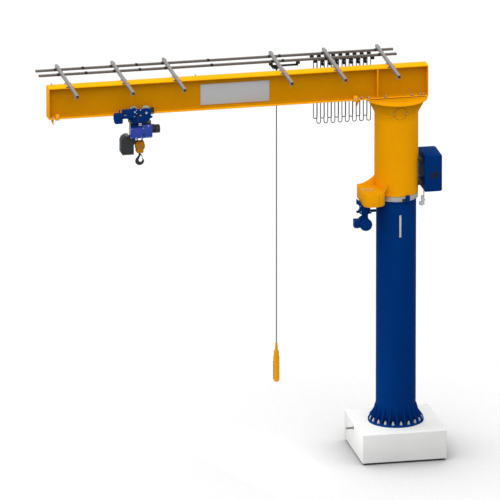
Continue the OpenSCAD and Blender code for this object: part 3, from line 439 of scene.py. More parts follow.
# %% A dressed copy of a solid
def dress(node, width, slot=None, segments=2):
    """A smooth copy of a CAD solid with rounded edges, in the solid's place."""
    shape = bmesh.new()
    shape.from_mesh(frame["nodes"][node].data)
    bmesh.ops.remove_doubles(shape, verts=shape.verts, dist=0.00002)
    bmesh.ops.dissolve_limit(shape, angle_limit=radians(0.4), verts=shape.verts, edges=shape.edges)
    mesh = bpy.data.meshes.new(node + "_dressed")
    shape.to_mesh(mesh)
    shape.free()
    return settle(softened(mesh, width, segments), node + "_dressed", body_of[node], slot or slot_of[node],
                  [node])

for node in body_of:
    if slot_of[node] != "cable":
        frame["nodes"][node].data.materials.clear()
        frame["nodes"][node].data.materials.append(finishes[slot_of[node]])
print("every solid has its finish")

# %% [markdown]
# ## New shapes in mesh code
# Most finer pieces are of a few kinds: a plate cut to an outline, a part turned on a lathe, a bar bent
# along a route. All three are rings of points joined by walls, so one class lofts rings, and the rest
# only says where the rings are. A primitive could be added and scaled instead, but then nothing would
# follow from the frame's own measures.

# %% A solid built ring by ring
class Solid:
    def __init__(self):
        self.mesh = bmesh.new()

    def loft(self, rings, looped=False):
        rows = [[self.mesh.verts.new(p) for p in ring] for ring in rings]
        for a, b in zip(rows, rows[1:] + rows[:1] if looped else rows[1:]):
            for i in range(len(a)):
                j = (i + 1) % len(a)
                self.mesh.faces.new((a[i], a[j], b[j], b[i]))
        if not looped:
            self.mesh.faces.new(rows[0][::-1])
            self.mesh.faces.new(rows[-1])
        return self

    def prism(self, outline, axis, low, high):
        """A plate with that outline, from low to high along x, y or z."""
        return self.loft([[placed(p, h, axis) for p in outline] for h in (low, high)])

    def box(self, low, high):
        (x0, y0, z0), (x1, y1, z1) = low, high
        return self.prism([(x0, y0), (x1, y0), (x1, y1), (x0, y1)], "z", z0, z1)

    def turned(self, centre, axis, profile, sides):
        """A lathed part round the centre: profile lists (distance along the axis, radius)."""
        across = [c for c, name in zip(centre, "xyz") if name != axis]
        start = centre["xyz".index(axis)]
        return self.loft([[placed((across[0] + radius * cos(2 * pi * i / sides),
                                   across[1] + radius * sin(2 * pi * i / sides)), start + along, axis)
                           for i in range(sides)] for along, radius in profile])

    def swept(self, route, radius, sides, looped=False):
        """A round bar that follows a route."""
        route, rings, side = [Vector(p) for p in route], [], None
        for i, here in enumerate(route):
            ahead = (route[min(i + 1, len(route) - 1)] - route[max(i - 1, 0)]).normalized()
            side = ahead.orthogonal() if side is None else side - ahead * side.dot(ahead)
            side.normalize()
            over = ahead.cross(side)
            rings.append([here + (side * cos(2 * pi * k / sides) + over * sin(2 * pi * k / sides)) * radius
                          for k in range(sides)])
        return self.loft(rings, looped)

    def as_mesh(self, name, bevel, segments):
        """The finished solid as a mesh with rounded edges; the solid itself is spent."""
        bmesh.ops.recalc_face_normals(self.mesh, faces=self.mesh.faces)
        mesh = bpy.data.meshes.new(name)
        self.mesh.to_mesh(mesh)
        self.mesh.free()
        return softened(mesh, bevel, segments)

    def piece(self, name, body, slot, bevel=0.0, segments=2, nodes=(), angle=32.0):
        return settle(self.as_mesh(name, bevel, segments), name, body, slot, nodes, angle)

print("a solid can be lofted, cut to an outline, turned or swept")

# %% Outlines, their place along an axis, and round-cornered plates
def placed(point, height, axis):
    """A 2-D point lifted to a height along x, y or z."""
    return {"x": (height, *point), "y": (point[0], height, point[1]), "z": (*point, height)}[axis]

def rounded(x0, y0, x1, y1, r, steps=5):
    """The outline of a rectangle with round corners."""
    corners = ((x1 - r, y1 - r, 0), (x0 + r, y1 - r, 90), (x0 + r, y0 + r, 180), (x1 - r, y0 + r, 270))
    return [(x + r * cos(radians(a + 90 * k / steps)), y + r * sin(radians(a + 90 * k / steps)))
            for x, y, a in corners for k in range(steps + 1)]

def plates(name, body, slot, axis, bevel, *slabs):
    """A piece of round-cornered plates; a slab gives its corners, corner radius, and from and to."""
    solid = Solid()
    for *outline, low, high in slabs:
        solid.prism(rounded(*outline), axis, low, high)
    return solid.piece(name, body, slot, bevel=bevel)

print("outlines and plates ready")

# %% [markdown]
# ## Trees for what repeats
# Bolts, cooling fins, chain links and weld beads come in dozens. Each could be copied by a loop, but a
# Geometry Nodes tree says the rule once: what one of them looks like, and on which points it stands.
# A tree gets its sizes as named inputs and turns its instances into real faces at the end, and its
# result is taken as a plain mesh.

# %% Starting, ending and growing a tree
def modifier_tree(name, **kinds):
    """A tree with named inputs, after the one for its points: its recipe and the group's inputs."""
    tree = bpy.data.node_groups.new(name, "GeometryNodeTree")
    tree.interface.new_socket("shape", in_out="OUTPUT", socket_type="NodeSocketGeometry")
    tree.interface.new_socket("places", in_out="INPUT", socket_type="NodeSocketGeometry")
    for key, kind in {**kinds, "coating": "Material"}.items():
        tree.interface.new_socket(key, in_out="INPUT", socket_type="NodeSocket" + kind)
    recipe = Recipe(tree)
    return recipe, recipe.add("NodeGroupInput")

def ending(recipe, given, shape):
    real = recipe.add("GeometryNodeRealizeInstances", None, {"Geometry": shape})
    painted = recipe.add("GeometryNodeSetMaterial", None,
                         {"Geometry": real, "Material": given.other("coating")})
    recipe.add("NodeGroupOutput", None, {0: painted})

def grown(recipe, seedling, slot, **values):
    """The plain mesh that a tree grows from a seed mesh with those values."""
    carrier = bpy.data.objects.new("seed", seedling)
    scene.collection.objects.link(carrier)
    growth = carrier.modifiers.new("growth", "NODES")
    growth.node_group = recipe.tree
    sockets = recipe.tree.interface.items_tree
    named = {item.name: item.identifier for item in sockets if item.in_out == "INPUT"}
    for key, value in {**values, "coating": finishes[slot]}.items():
        growth[named[key]] = value
    return taken(carrier)

def dots(places, facings):
    """Points that carry the direction in which each copy faces."""
    mesh = bpy.data.meshes.new("dots")
    mesh.from_pydata([tuple(p) for p in places], [], [])
    facing = mesh.attributes.new("facing", "FLOAT_VECTOR", "POINT")
    for spot, direction in zip(facing.data, facings):
        spot.vector = direction
    return mesh

print("trees can be started, ended and grown")

# %% Small parts that the trees share
def rod(recipe, sides, radius, depth, lift, top=None):
    """A cylinder, or a cone with its own top radius, whose middle is lifted along Z."""
    if top is None:
        shape = recipe.add("GeometryNodeMeshCylinder", None, {"Vertices": sides, "Radius": radius,
                                                              "Depth": depth})
        raised = lift
    else:
        shape = recipe.add("GeometryNodeMeshCone", None,
                           {"Vertices": sides, "Radius Top": top, "Radius Bottom": radius, "Depth": depth})
        raised = lift - depth * 0.5
    up = recipe.add("ShaderNodeCombineXYZ", None, {"Z": raised})
    return recipe.add("GeometryNodeTransform", None, {"Geometry": shape, "Translation": up})

def on_points(recipe, given, shape):
    """The shape on every point, its Z turned to the direction that the point carries."""
    facing = recipe.add("GeometryNodeInputNamedAttribute", {"data_type": "FLOAT_VECTOR"}, {"Name": "facing"})
    aligned = recipe.add("FunctionNodeAlignRotationToVector", {"axis": "Z"}, {"Vector": facing})
    return recipe.add("GeometryNodeInstanceOnPoints", None,
                      {"Points": given, "Instance": shape, "Rotation": aligned})

def spun(recipe, stood):
    """The same shapes, each turned about its own axis by chance."""
    full_turn, seed = 6.283, 3
    chance = recipe.add("FunctionNodeRandomValue", {"data_type": "FLOAT"}, {2: 0.0, 3: full_turn, 8: seed},
                        out=1)
    spin = recipe.add("ShaderNodeCombineXYZ", None, {"Z": chance})
    return recipe.add("GeometryNodeRotateInstances", None, {"Instances": stood, "Rotation": spin})

print("shared parts ready: rod, on_points, spun")

# %% The tree of hexagon bolts
bolt_sizes = ("across", "tall", "washer", "stud", "stud_tall")
recipe, given = modifier_tree("hexagon bolts", **{size: "Float" for size in bolt_sizes})
bolt_tree = recipe
across, tall, washer, stud, stud_tall = (given.other(size) for size in bolt_sizes)
plate_t = washer * 0.14
flats_to_corner = 0.57735
corner = across * flats_to_corner
bolt = recipe.add("GeometryNodeJoinGeometry", None, {"Geometry": [
    rod(recipe, 24, washer, plate_t, plate_t * 0.5),
    rod(recipe, 6, corner, tall, plate_t + tall * 0.5),
    rod(recipe, 24, across * 0.49, tall * 0.12, plate_t + tall * 1.06, top=across * 0.40),
    rod(recipe, 12, stud, stud_tall, stud_tall * 0.5)]})
ending(recipe, given, spun(recipe, on_points(recipe, given, bolt)))

def bolts(name, places, facings, across, body, slot="zinc", tall=0.62, stud=0.0, nodes=()):
    """Hexagon bolts at those places; across is the width over the flats."""
    facings = [facings] * len(places) if isinstance(facings[0], (int, float)) else facings
    mesh = grown(bolt_tree, dots(places, facings), slot, across=across, tall=across * tall,
                 washer=across * 0.60, stud=across * 0.31, stud_tall=max(stud, across * (tall + 0.1)))
    return settle(mesh, name, body, slot, nodes)

print("bolt tree has", len(bolt_tree.tree.nodes), "nodes")

# %% Bolts on a near face, and on both faces
def grid(xs, zs):
    return [(x, z) for x in xs for z in zs]

def near_bolts(name, y, spots, across, body, slot="zinc", tall=0.62):
    """Bolts at (x, z) spots on a face that looks to -Y."""
    return bolts(name, [(x, y, z) for x, z in spots], (0, -1, 0), across, body, slot, tall)

def side_bolts(name, off, spots, across, body, slot="zinc", tall=0.62):
    """Bolts at (x, z) spots on both faces of a thing, each face so far off its middle plane."""
    both = [(x, side, z) for x, z in spots for side in (-1, 1)]
    return bolts(name, [(x, side * off, z) for x, side, z in both], [(0, side, 0) for x, side, z in both],
                 across, body, slot, tall)

print("rows of bolts ready")

# %% The tree of copies
copy_tree, given = modifier_tree("copies", model="Object")
model = copy_tree.add("GeometryNodeObjectInfo", None, {"Object": given.other("model")}, out="Geometry")
ending(copy_tree, given, copy_tree.add("GeometryNodeInstanceOnPoints", None,
                                       {"Points": given, "Instance": model}))

def copies(name, model, places, body, slot, nodes=()):
    """One mesh of many copies of a model, which is removed afterwards."""
    mesh = grown(copy_tree, dots(places, [(0, 0, 1)] * len(places)), slot, model=model)
    bpy.data.objects.remove(model)
    return settle(mesh, name, body, slot, nodes)

def model_of(solid, bevel):
    """An object of a solid for the tree of copies, which takes it away once it has copied it."""
    model = bpy.data.objects.new("model", solid.as_mesh("model", bevel, 1))
    scene.collection.objects.link(model)
    return model

print("copy tree has", len(copy_tree.tree.nodes), "nodes")

# %% The tree of cooling fins
fin_tree, given = modifier_tree("cooling fins", breadth="Float", depth="Float", height="Float")
fin = fin_tree.add("GeometryNodeMeshCube", None, {"Size": fin_tree.add("ShaderNodeCombineXYZ", None, {
    0: given.other("breadth"), 1: given.other("depth"), 2: given.other("height")})})
ending(fin_tree, given, on_points(fin_tree, given, fin))
print("fin tree has", len(fin_tree.tree.nodes), "nodes")

# %% The tree of weld beads
bead_tree, given = modifier_tree("weld beads", thickness="Float")
seam = bead_tree.add("GeometryNodeMeshToCurve", None, {"Mesh": given})
seam = bead_tree.add("GeometryNodeResampleCurve", {"mode": "LENGTH"},
                     {"Curve": seam, "Length": given.other("thickness") * 0.9})
ripple = bead_tree.add("GeometryNodeInputIndex") % 2.0
seam = bead_tree.add("GeometryNodeSetCurveRadius", None, {"Curve": seam, "Radius": 1.0 - ripple * 0.22})
section = bead_tree.add("GeometryNodeCurvePrimitiveCircle", None,
                        {"Resolution": 6, "Radius": given.other("thickness")})
ending(bead_tree, given, bead_tree.add("GeometryNodeCurveToMesh", None,
                                       {"Curve": seam, "Profile Curve": section, "Fill Caps": True}))

def beads(name, routes, thickness, body, slot):
    """Rippled weld beads along routes of points."""
    points, edges = [], []
    for route in routes:
        edges += [(len(points) + i, len(points) + i + 1) for i in range(len(route) - 1)]
        points += [tuple(p) for p in route]
    seed = bpy.data.meshes.new("seams")
    seed.from_pydata(points, edges, [])
    return settle(grown(bead_tree, seed, slot, thickness=thickness), name, body, slot, angle=80.0)

def polar(radius, angle, z):
    return (radius * cos(radians(angle)), radius * sin(radians(angle)), z)

print("bead tree has", len(bead_tree.tree.nodes), "nodes")

# %% [markdown]
# ## Foundation
# The block is poured between boards, so its edges are slightly broken and it keeps small air holes.
# It lies on a bed of mortar that is a little smaller. A ribbed conduit brings the supply cable out of
# its side. The conduit is a turned part: its ribs are real, because they show against the light.

# %% Block, bed and conduit
dress("foundation_block", 0.006, segments=3)
dress("foundation_bed", 0.004)
low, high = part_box("cable_conduit")
pipe_z = (low.z + high.z) / 2
pipe = [(0.0, 0.020), (-0.014, 0.020), (-0.016, 0.0185), (-0.016, 0.0135)]
for k in range(22):
    start = -0.017 - k * 0.0041
    pipe += [(start, 0.0135), (start - 0.0010, 0.0150), (start - 0.0026, 0.0150), (start - 0.0036, 0.0135)]
pipe += [(low.x - high.x, 0.0135), (low.x - high.x, 0.0115), (-0.060, 0.0115)]
conduit = Solid().turned((high.x, 0.0, pipe_z), "x", pipe, 24)
conduit.piece("conduit_ribbed", "mast", "galvanised", nodes=["cable_conduit"])

# %% [markdown]
# ## Mast
# The column is a welded tube on a thick flange, stiffened by gussets between the anchor bolts. A smooth
# joint would look cast, so rippled weld beads run along every gusset and round the column's foot.

# %% Column, flange, gussets and their welds
for node, width in {"base_flange": 0.002, "gussets": 0.0015, "column_tube": 0.002,
                    "pivot_post": 0.002}.items():
    dress(node, width)
column_r, flange_top = 0.2795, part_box("base_flange")[1].z
gusset_top, gusset_half, gusset_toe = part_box("gussets")[1].z, 0.006, 0.379
anchor_r, anchor_count = 0.356, 20
anchor_step = 360.0 / anchor_count
foot = [polar(column_r, a, flange_top) for a in range(0, 361, 5)]
seams = [foot]
for k in range(anchor_count):
    out = Vector(polar(1.0, (k + 0.5) * anchor_step, 0.0))
    across = Vector((-out.y, out.x, 0.0)) * gusset_half
    for hand in (-1, 1):
        seams.append([out * r + across * hand + Vector((0, 0, z)) for r, z in (
            (gusset_toe, flange_top), (column_r + 0.001, flange_top), (column_r + 0.001, gusset_top))])
beads("mast_welds", seams, 0.0045, "mast", "mast_blue")

# %% Anchor nuts
bolts("anchor_nuts", [polar(anchor_r, anchor_step * k, flange_top) for k in range(anchor_count)], (0, 0, 1),
      0.036, "mast", tall=0.56, stud=0.046, nodes=["anchor_bolts"])

# %% [markdown]
# ## Slewing ring
# The turret turns about a post on top of the column, and rollers inside its housing run on a turned
# ring. The ring is bare steel, since rollers would rub paint off. A rubber stop limits the slewing. The
# solids of these parts only need round edges. Their screws and nipples could be modelled one by one,
# but the bolt tree already makes them, at any size and facing any way.

# %% Track ring, stop and cable cover
for node, width in {"track_ring": 0.003, "slew_stop": 0.003, "slew_dog": 0.003,
                    "cable_cover": 0.0015}.items():
    dress(node, width)
low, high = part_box("cable_cover")
strip_at, strip_face, screw_inset = 269.7, 0.2855, 0.014
out = polar(1.0, strip_at, 0.0)
strip_screws = [polar(strip_face, strip_at, z) for z in (low.z + screw_inset, high.z - screw_inset)]
bolts("cable_cover_screws", strip_screws, out, 0.009, "mast", tall=0.3)
ring_r, nipple_z = 0.305, 3.760
grease = [polar(ring_r, a, nipple_z) for a in (24, 84, 144, 204, 324)]
bolts("ring_grease_nipples", grease, [(x, y, 0.0) for x, y, z in grease], 0.009, "mast", tall=0.9)

# %% [markdown]
# ## Turret
# The turret is a tube that flares out under the head plate. An inspection cover with a rubber seal sits
# on the flare. The seal is a bar bent along the line where a circle meets the cone, so it is computed
# from the cone's own radius at each height.

# %% Turret, cover and seal
dress("turret", 0.001, slot="turret_yellow")
dress("inspection_cover", 0.0015, slot="turret_yellow")
dress("head_plate", 0.002, slot="sheltered_yellow")
flare_low, flare_high, flare_in, flare_out, cover_at = 4.959, 5.154, 0.305, 0.410, 267.8

def flare_r(z):
    return flare_in + (flare_out - flare_in) * min(max((z - flare_low) / (flare_high - flare_low), 0.0), 1.0)

def on_turret(across, z, proud):
    """A point on the turret's skin, so far across from the cover's middle and so far proud of it."""
    r = flare_r(z) + proud
    return polar(r, cover_at + across / r * 180 / pi, z)

cover_z, cover_r = 5.020, 0.0965
seal = [on_turret(cover_r * cos(radians(a)), cover_z + cover_r * sin(radians(a)), 0.0005)
        for a in range(0, 360, 10)]
Solid().swept(seal, 0.0032, 8, looped=True).piece("cover_seal", "jib", "rubber", angle=80.0)
slope = Vector((flare_high - flare_low, flare_in - flare_out)).normalized()
spots = [on_turret(side * 0.092, cover_z, 0.008) for side in (-1, 1)]
leans = [(x / hypot(x, y) * slope.x, y / hypot(x, y) * slope.x, slope.y) for x, y, z in spots]
bolts("cover_bolts", spots, leans, 0.017, "jib")
beads("turret_welds", [[polar(flare_r(z) + 0.001, a, z) for a in range(0, 361, 5)]
                       for z in (flare_high - 0.001, flare_low)], 0.004, "jib", "crane_yellow")

# %% Bolts that hold the beam on the head plate
flange_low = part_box("head_plate")[1].z
flange_face = flange_low + 0.0146
beam_bolts = [(x, side * 0.063, flange_face) for x in (-0.504, -0.405, -0.163, 0.213, 0.320, 0.376)
              for side in (-1, 1)]
bolts("beam_bolts", beam_bolts, (0, 0, 1), 0.024, "jib", tall=0.7, stud=0.030)
# Thin black plates under the bolts, reaching further behind them: painted shadows of the bolts on the flange.
shadow_plates = Solid()
for x, y, z in beam_bolts:
    shadow_plates.box((x - 0.020, y - 0.016, z - 0.0005), (x + 0.020, y + 0.022, z + 0.004))
shadow_plates.piece("beam_bolt_pads", "jib", "black_fitting", bevel=0.001)
# A thin black strip along both edges of the flange, on the head plate: painted shade of the contact line.
contact_strips = Solid()
for side in (-1, 1):
    contact_strips.box((-0.396, side * 0.0962 - 0.0014, flange_low + 0.0005),
                (0.396, side * 0.0962 + 0.0014, flange_low + 0.0075))
contact_strips.piece("head_sealant", "jib", "rubber", bevel=0.0006)

# %% [markdown]
# ## Slewing drive
# A geared motor hangs under a sheet-metal housing, which hides its pinion and the ring that it drives,
# so neither is modelled. The motor has a finned body, an end shield, and a fan under a cowl with a ring
# grille. The fins repeat round the body, so a tree sets them, and the cowl is turned from one profile.

# %% Housing and gearbox
dress("slew_housing", 0.004, slot="housing_yellow", segments=3)
dress("slew_gearbox", 0.003)
housing_top = 3.905
housing_spots = [(x, y, housing_top) for x, y in ((-0.524, -0.232), (-0.462, -0.245), (-0.402, -0.258))]
bolts("housing_bolts", housing_spots, (0, 0, 1), 0.024, "jib", tall=0.8)
seam = [(-0.341, -0.4692, z) for z in (3.7265, 3.82, 3.9035)]
Solid().swept(seam, 0.0016, 6).piece("housing_seam", "jib", "rubber")
drive_x, drive_y = -0.490, -0.205
upper_plate_z, lower_plate_z = 3.703, 3.603

def drive_corners(half, z):
    """The four corners of a square round the drive's axis."""
    return [(drive_x + sx * half, drive_y + sy * half, z) for sx in (-1, 1) for sy in (-1, 1)]

bolts("gearbox_upper_bolts", drive_corners(0.084, upper_plate_z), (0, 0, -1), 0.017, "jib")
bolts("gearbox_lower_bolts", drive_corners(0.066, lower_plate_z), (0, 0, 1), 0.015, "jib")

# %% A motor by its axis, radius and two ends
def motor(name, body, slot, axis, centre, radius, cowl_end, drive_end, cowl_l, nodes, extra, fins=30):
    """A finned motor: turned core, cowl with a ring grille, fins, and extra parts from the caller."""
    toward = 1.0 if drive_end > cowl_end else -1.0
    start = list(centre)
    start["xyz".index(axis)] = cowl_end
    length = abs(drive_end - cowl_end)
    profile = [(0.004, radius * 0.20), (0.000, radius * 0.26), (0.000, radius * 0.34), (0.004, radius * 0.38)]
    for ring in (0.48, 0.62, 0.76):
        profile += [(0.004, radius * ring), (0.0005, radius * (ring + 0.02)),
                    (0.0005, radius * (ring + 0.08)), (0.004, radius * (ring + 0.10))]
    profile += [(0.0015, radius * 0.90), (0.004, radius * 0.965), (0.010, radius), (cowl_l, radius),
                (cowl_l, radius * 0.86), (length - 0.030, radius * 0.86), (length - 0.028, radius * 0.97),
                (length - 0.006, radius * 0.97), (length, radius * 0.84)]
    solid = Solid().turned(start, axis, [(toward * along, r) for along, r in profile], 40)
    extra(solid)
    solid.piece(name, body, slot, bevel=0.0012, segments=1, nodes=nodes)
    spots, facings = [], []
    middle = list(centre)
    middle["xyz".index(axis)] = cowl_end + toward * (cowl_l + length - 0.028) / 2
    for k in range(fins):
        turned = 2 * pi * (k + 0.5) / fins
        facing = placed((cos(turned), sin(turned)), 0.0, axis)
        spots.append([m + f * radius * 0.91 for m, f in zip(middle, facing)])
        facings.append(facing)
    reach = length - 0.028 - cowl_l
    sizes = {"x": (reach, 0.0032), "y": (0.0032, reach)}[axis]
    mesh = grown(fin_tree, dots(spots, facings), slot, breadth=sizes[0], depth=sizes[1], height=radius * 0.14)
    return settle(mesh, name + "_fins", body, slot)

print("motors can be made")

# %% Slewing motor
motor_z, box_face = 3.420, -0.645

def slewing_extras(solid):
    """The motor's neck, terminal box with its lid and gland, and a band round the body."""
    neck = [(0.0, 0.046), (0.070, 0.046), (0.074, 0.056), (0.099, 0.056)]
    solid.turned((drive_x, drive_y, 3.480), "z", neck, 28)
    solid.prism(rounded(-0.638, -0.262, -0.560, -0.148, 0.010), "z", 3.372, 3.478)
    solid.prism(rounded(-0.265, 3.368, -0.145, 3.482, 0.012), "x", box_face, -0.634)
    solid.turned((-0.596, -0.205, 3.350), "z", [(0.0, 0.010), (0.002, 0.012), (0.022, 0.012)], 6)
    band = [(0.0, 0.0845), (0.002, 0.088), (0.014, 0.088), (0.016, 0.084)]
    solid.turned((drive_x, -0.301, motor_z), "y", band, 40)

motor("slewing_motor", "jib", "mast_blue", "y", (drive_x, drive_y, motor_z), 0.082, -0.325, -0.085, 0.042,
      ["slew_motor"], slewing_extras)
bolts("terminal_box_screws", [(box_face, y, z) for y in (-0.256, -0.154) for z in (3.377, 3.473)],
      (-1, 0, 0), 0.007, "jib", tall=0.3)

# %% [markdown]
# ## Jib
# The jib is a rolled beam with end plates. Its web carries a bare plate with a fine raised frame, held by
# four screws. Trolley stops are clamped to the lower flange near both ends. The plate's frame could be a
# bump in its finish, but a thin bar swept along the rim keeps its edge in any light.

# %% Beam, end plates, stops and plate
dress("jib_beam", 0.0015, slot="web_yellow")
for node, width in {"web_stiffeners": 0.0015, "end_stop_outer": 0.0015,
                    "end_stop_inner": 0.0015, "sign_plate": 0.001}.items():
    dress(node, width)
low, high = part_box("sign_plate")
edge = 0.022
screw_spots = grid((low.x + edge, high.x - edge), (low.z + edge, high.z - edge))
near_bolts("plate_screws", low.y, screw_spots, 0.010, "jib", tall=0.3)
rim = rounded(low.x + 0.003, low.z + 0.003, high.x - 0.003, high.z - 0.003, 0.012)
rim_bar = Solid().swept([(x, low.y + 0.0003, z) for x, z in rim], 0.0022, 6, looped=True)
rim_bar.piece("plate_rim", "jib", "sign_grey")
for name, x in (("outer", -4.845), ("inner", -0.576)):
    side_bolts("end_stop_bolts_" + name, 0.1000, [(x - 0.030, 5.205), (x + 0.030, 5.205)], 0.019, "jib")

# %% [markdown]
# ## Support arms and rails
# Six galvanised channels lie across the beam and carry two channel rails behind it. Clamps with bolts
# hold each arm on the flange's edges, and small hangers hold the rails. All the clamps are alike, so one
# model is copied to every place by a tree.

# %% Arms, rails and couplers
arm_low, arm_half = 5.624, 0.020
arm_places = [-4.640, -3.8515, -3.1237, -1.6073, -0.8492, -0.091]
dress("support_arms", 0.0008)
dress("rail_near", 0.0008, slot="rail_zinc")
dress("rail_far", 0.0008, slot="rail_zinc")
dress("rail_fittings", 0.0015)

# %% Clamps on the flange's edges
clamp_half, clamp_t, flange_grip = 0.016, 0.007, 0.080

def arm_clamp(side):
    """A plate on the flange's far (1) or near (-1) edge, with a lip that hooks under it."""
    inner, outer = sorted((side * -0.022, side * 0.014))
    lip_in, lip_out = sorted((side * 0.008, side * 0.014))
    plate = Solid().box((-clamp_half, inner, 0.0), (clamp_half, outer, clamp_t))
    return plate.box((-clamp_half, lip_in, -0.018), (clamp_half, lip_out, 0.004))

far_spots = [(x + hand * (arm_half + 0.017), flange_grip, arm_low) for x in arm_places for hand in (-1, 1)]
near_spots = [(x, -y, z) for x, y, z in far_spots]
copies("arm_clamps_far", model_of(arm_clamp(1), 0.0012), far_spots, "jib", "zinc")
copies("arm_clamps_near", model_of(arm_clamp(-1), 0.0012), near_spots, "jib", "black_steel")
bolts("arm_clamp_bolts", [(x, y, z + clamp_t) for x, y, z in far_spots + near_spots], (0, 0, 1), 0.013, "jib",
      tall=0.6, stud=0.016)

# %% End caps, clips and hangers
arm_ends = (-0.6085, 0.8825)
cap = Solid().prism(rounded(-0.0175, 0.0025, 0.0175, 0.0375, 0.004), "y", 0.0, 0.006)
copies("arm_end_caps", model_of(cap, 0.001), [(x, y, arm_low) for y in arm_ends for x in arm_places],
       "jib", "black_fitting")
clip = Solid().box((-0.012, 0.0, -0.016), (0.012, 0.003, 0.002))
clip.box((-0.012, 0.0, -0.019), (0.012, 0.016, -0.016))
clip.turned((0.0, 0.008, -0.016), "z", [(0.0, 0.004), (0.012, 0.004), (0.013, 0.006), (0.018, 0.006)], 10)
clip_spots = [(x - 0.026, -0.600, arm_low) for x in arm_places]
copies("arm_near_clips", model_of(clip, 0.001), clip_spots, "jib", "galvanised")
hanger = Solid().box((-0.014, -0.020, -0.004), (0.014, 0.020, 0.003))
hanger.box((-0.014, -0.024, -0.030), (0.014, -0.017, 0.003))
hanger.box((-0.014, 0.017, -0.030), (0.014, 0.024, 0.003))
hanger_spots = [(x - arm_half - 0.014, y, arm_low) for x in arm_places for y in (rail_near_y, rail_far_y)]
copies("rail_hangers", model_of(hanger, 0.001), hanger_spots, "jib", "black_steel")

# %% [markdown]
# ## Festoon carriages
# Each carriage is a moulded block with four rollers in the rail and a round saddle below, over which the
# cable is laid. There are nine on each rail. One is modelled with its webs, rollers and strap, and a tree
# copies it; the first and the last hold the cable in a clamp instead.

# %% One carriage with a saddle, and one with a clamp
def carriage():
    block = Solid().prism(rounded(-0.027, -0.034, 0.027, 0.0, 0.006), "y", -0.015, 0.015)
    for near, far in ((-0.017, -0.0145), (0.0145, 0.017)):
        block.prism(rounded(-0.020, -0.026, 0.020, -0.008, 0.004), "y", near, far)
    block.box((-0.018, -0.0035, -0.002), (0.018, 0.0035, 0.014))
    roller = [(0.0, 0.009), (0.001, 0.0105), (0.007, 0.0105), (0.008, 0.009)]
    for x in (-0.0135, 0.0135):
        for y in (-0.0115, 0.0035):
            block.turned((x, y, 0.0168), "y", roller, 14)
        block.turned((x, -0.010, 0.0168), "y", [(0.0, 0.003), (0.020, 0.003)], 8)
    for x in (-0.029, 0.027):
        block.box((x, -0.006, -0.024), (x + 0.002, 0.006, -0.012))
    return block

def saddle(block):
    middle = saddle_z - block_z - 0.034
    spool = [(0.0, 0.0175), (0.003, 0.0175), (0.004, 0.0142), (0.022, 0.0142), (0.023, 0.0175),
             (0.026, 0.0175)]
    block.turned((0.0, -0.013, middle), "y", spool, 22)
    return block.box((-0.011, 0.010, middle - 0.006), (0.011, 0.0135, -0.033))

def clamped(block):
    return block.box((-0.026, -0.010, -0.037), (0.026, 0.010, -0.033))

block_top = rail_low - 0.005
for side, y in (("near", rail_near_y), ("far", rail_far_y)):
    rows = [(first_carriage + i * loop_pitch, y, block_top) for i in range(loop_count + 1)]
    copies("carriages_" + side, model_of(saddle(carriage()), 0.0008), rows[1:-1], "jib", "black_fitting",
           ["festoon_carriages"] if side == "near" else ())
    copies("carriage_clamps_" + side, model_of(clamped(carriage()), 0.0008), [rows[0], rows[-1]], "jib",
           "black_fitting")

# %% [markdown]
# ## Control cabinet
# The cabinet is a folded sheet-steel case with a door on its outer side. Louvred vents are let into its
# side wall, and cable glands sit in its floor. A louvre is a few slanted slats in a frame; a dark
# texture would do from far away, but real slats catch the light.

# %% Case, door and brackets
for node, width in {"control_cabinet": 0.005, "cabinet_brackets": 0.002, "limit_switch": 0.0015}.items():
    dress(node, width)
low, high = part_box("cabinet_door")
door = Solid().prism(rounded(low.y, low.z, high.y, high.z, 0.010), "x", low.x, low.x + 0.004)
door.prism(rounded(low.y + 0.002, low.z + 0.002, high.y - 0.002, high.z - 0.002, 0.009), "x", low.x + 0.004,
           high.x - 0.004)
door.piece("cabinet_door_pan", "jib", "mast_blue", bevel=0.003, nodes=["cabinet_door"])
plates("cabinet_handle", "jib", "black_fitting", "x", 0.001,
       (low.y + 0.030, 4.030, low.y + 0.062, 4.180, 0.012, high.x - 0.0045, high.x - 0.0015),
       (low.y + 0.037, 4.045, low.y + 0.055, 4.140, 0.008, high.x - 0.002, high.x))
hinges = Solid()
hinge_profile = [(0.0, 0.006), (0.002, 0.007), (0.028, 0.007), (0.029, 0.0055), (0.031, 0.0055),
                 (0.032, 0.007), (0.058, 0.007), (0.060, 0.006)]
for z in (low.z + 0.060, (low.z + high.z) / 2, high.z - 0.060):
    hinges.turned((low.x + 0.004, high.y + 0.003, z - 0.030), "z", hinge_profile, 16)
hinges.piece("cabinet_hinges", "jib", "black_fitting")

# %% Vents and glands
wall, floor_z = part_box("control_cabinet")[0].yz
vents = Solid()
for x0, x1, z0, z1 in ((0.444, 0.476, 4.012, 4.104), (0.502, 0.548, 4.012, 4.116),
                       (0.473, 0.506, 4.167, 4.186)):
    vents.box((x0, wall - 0.0015, z0), (x1, wall + 0.001, z1))
    for z in np.arange(z0 + 0.003, z1 - 0.006, 0.0085):
        vents.prism([(wall - 0.001, z + 0.005), (wall - 0.006, z), (wall - 0.0045, z - 0.001),
                     (wall - 0.001, z + 0.003)], "x", x0 + 0.002, x1 - 0.002)
vents.piece("cabinet_vents", "jib", "vent_black")
glands = Solid()
gland_profile = [(0.0, 0.006), (0.004, 0.010), (0.013, 0.0115), (0.014, 0.014), (0.027, 0.014)]
for x, y in ((0.420, -0.120), (0.480, -0.120), (0.540, -0.120), (0.450, 0.060), (0.520, 0.060)):
    glands.turned((x, y, floor_z - 0.026), "z", gland_profile, 12)
glands.piece("cabinet_glands", "jib", "black_fitting", bevel=0.0008, segments=1)
near_bolts("switch_screws", -0.143, grid((0.337, 0.365), (3.662, 3.732)), 0.007, "jib", tall=0.4)

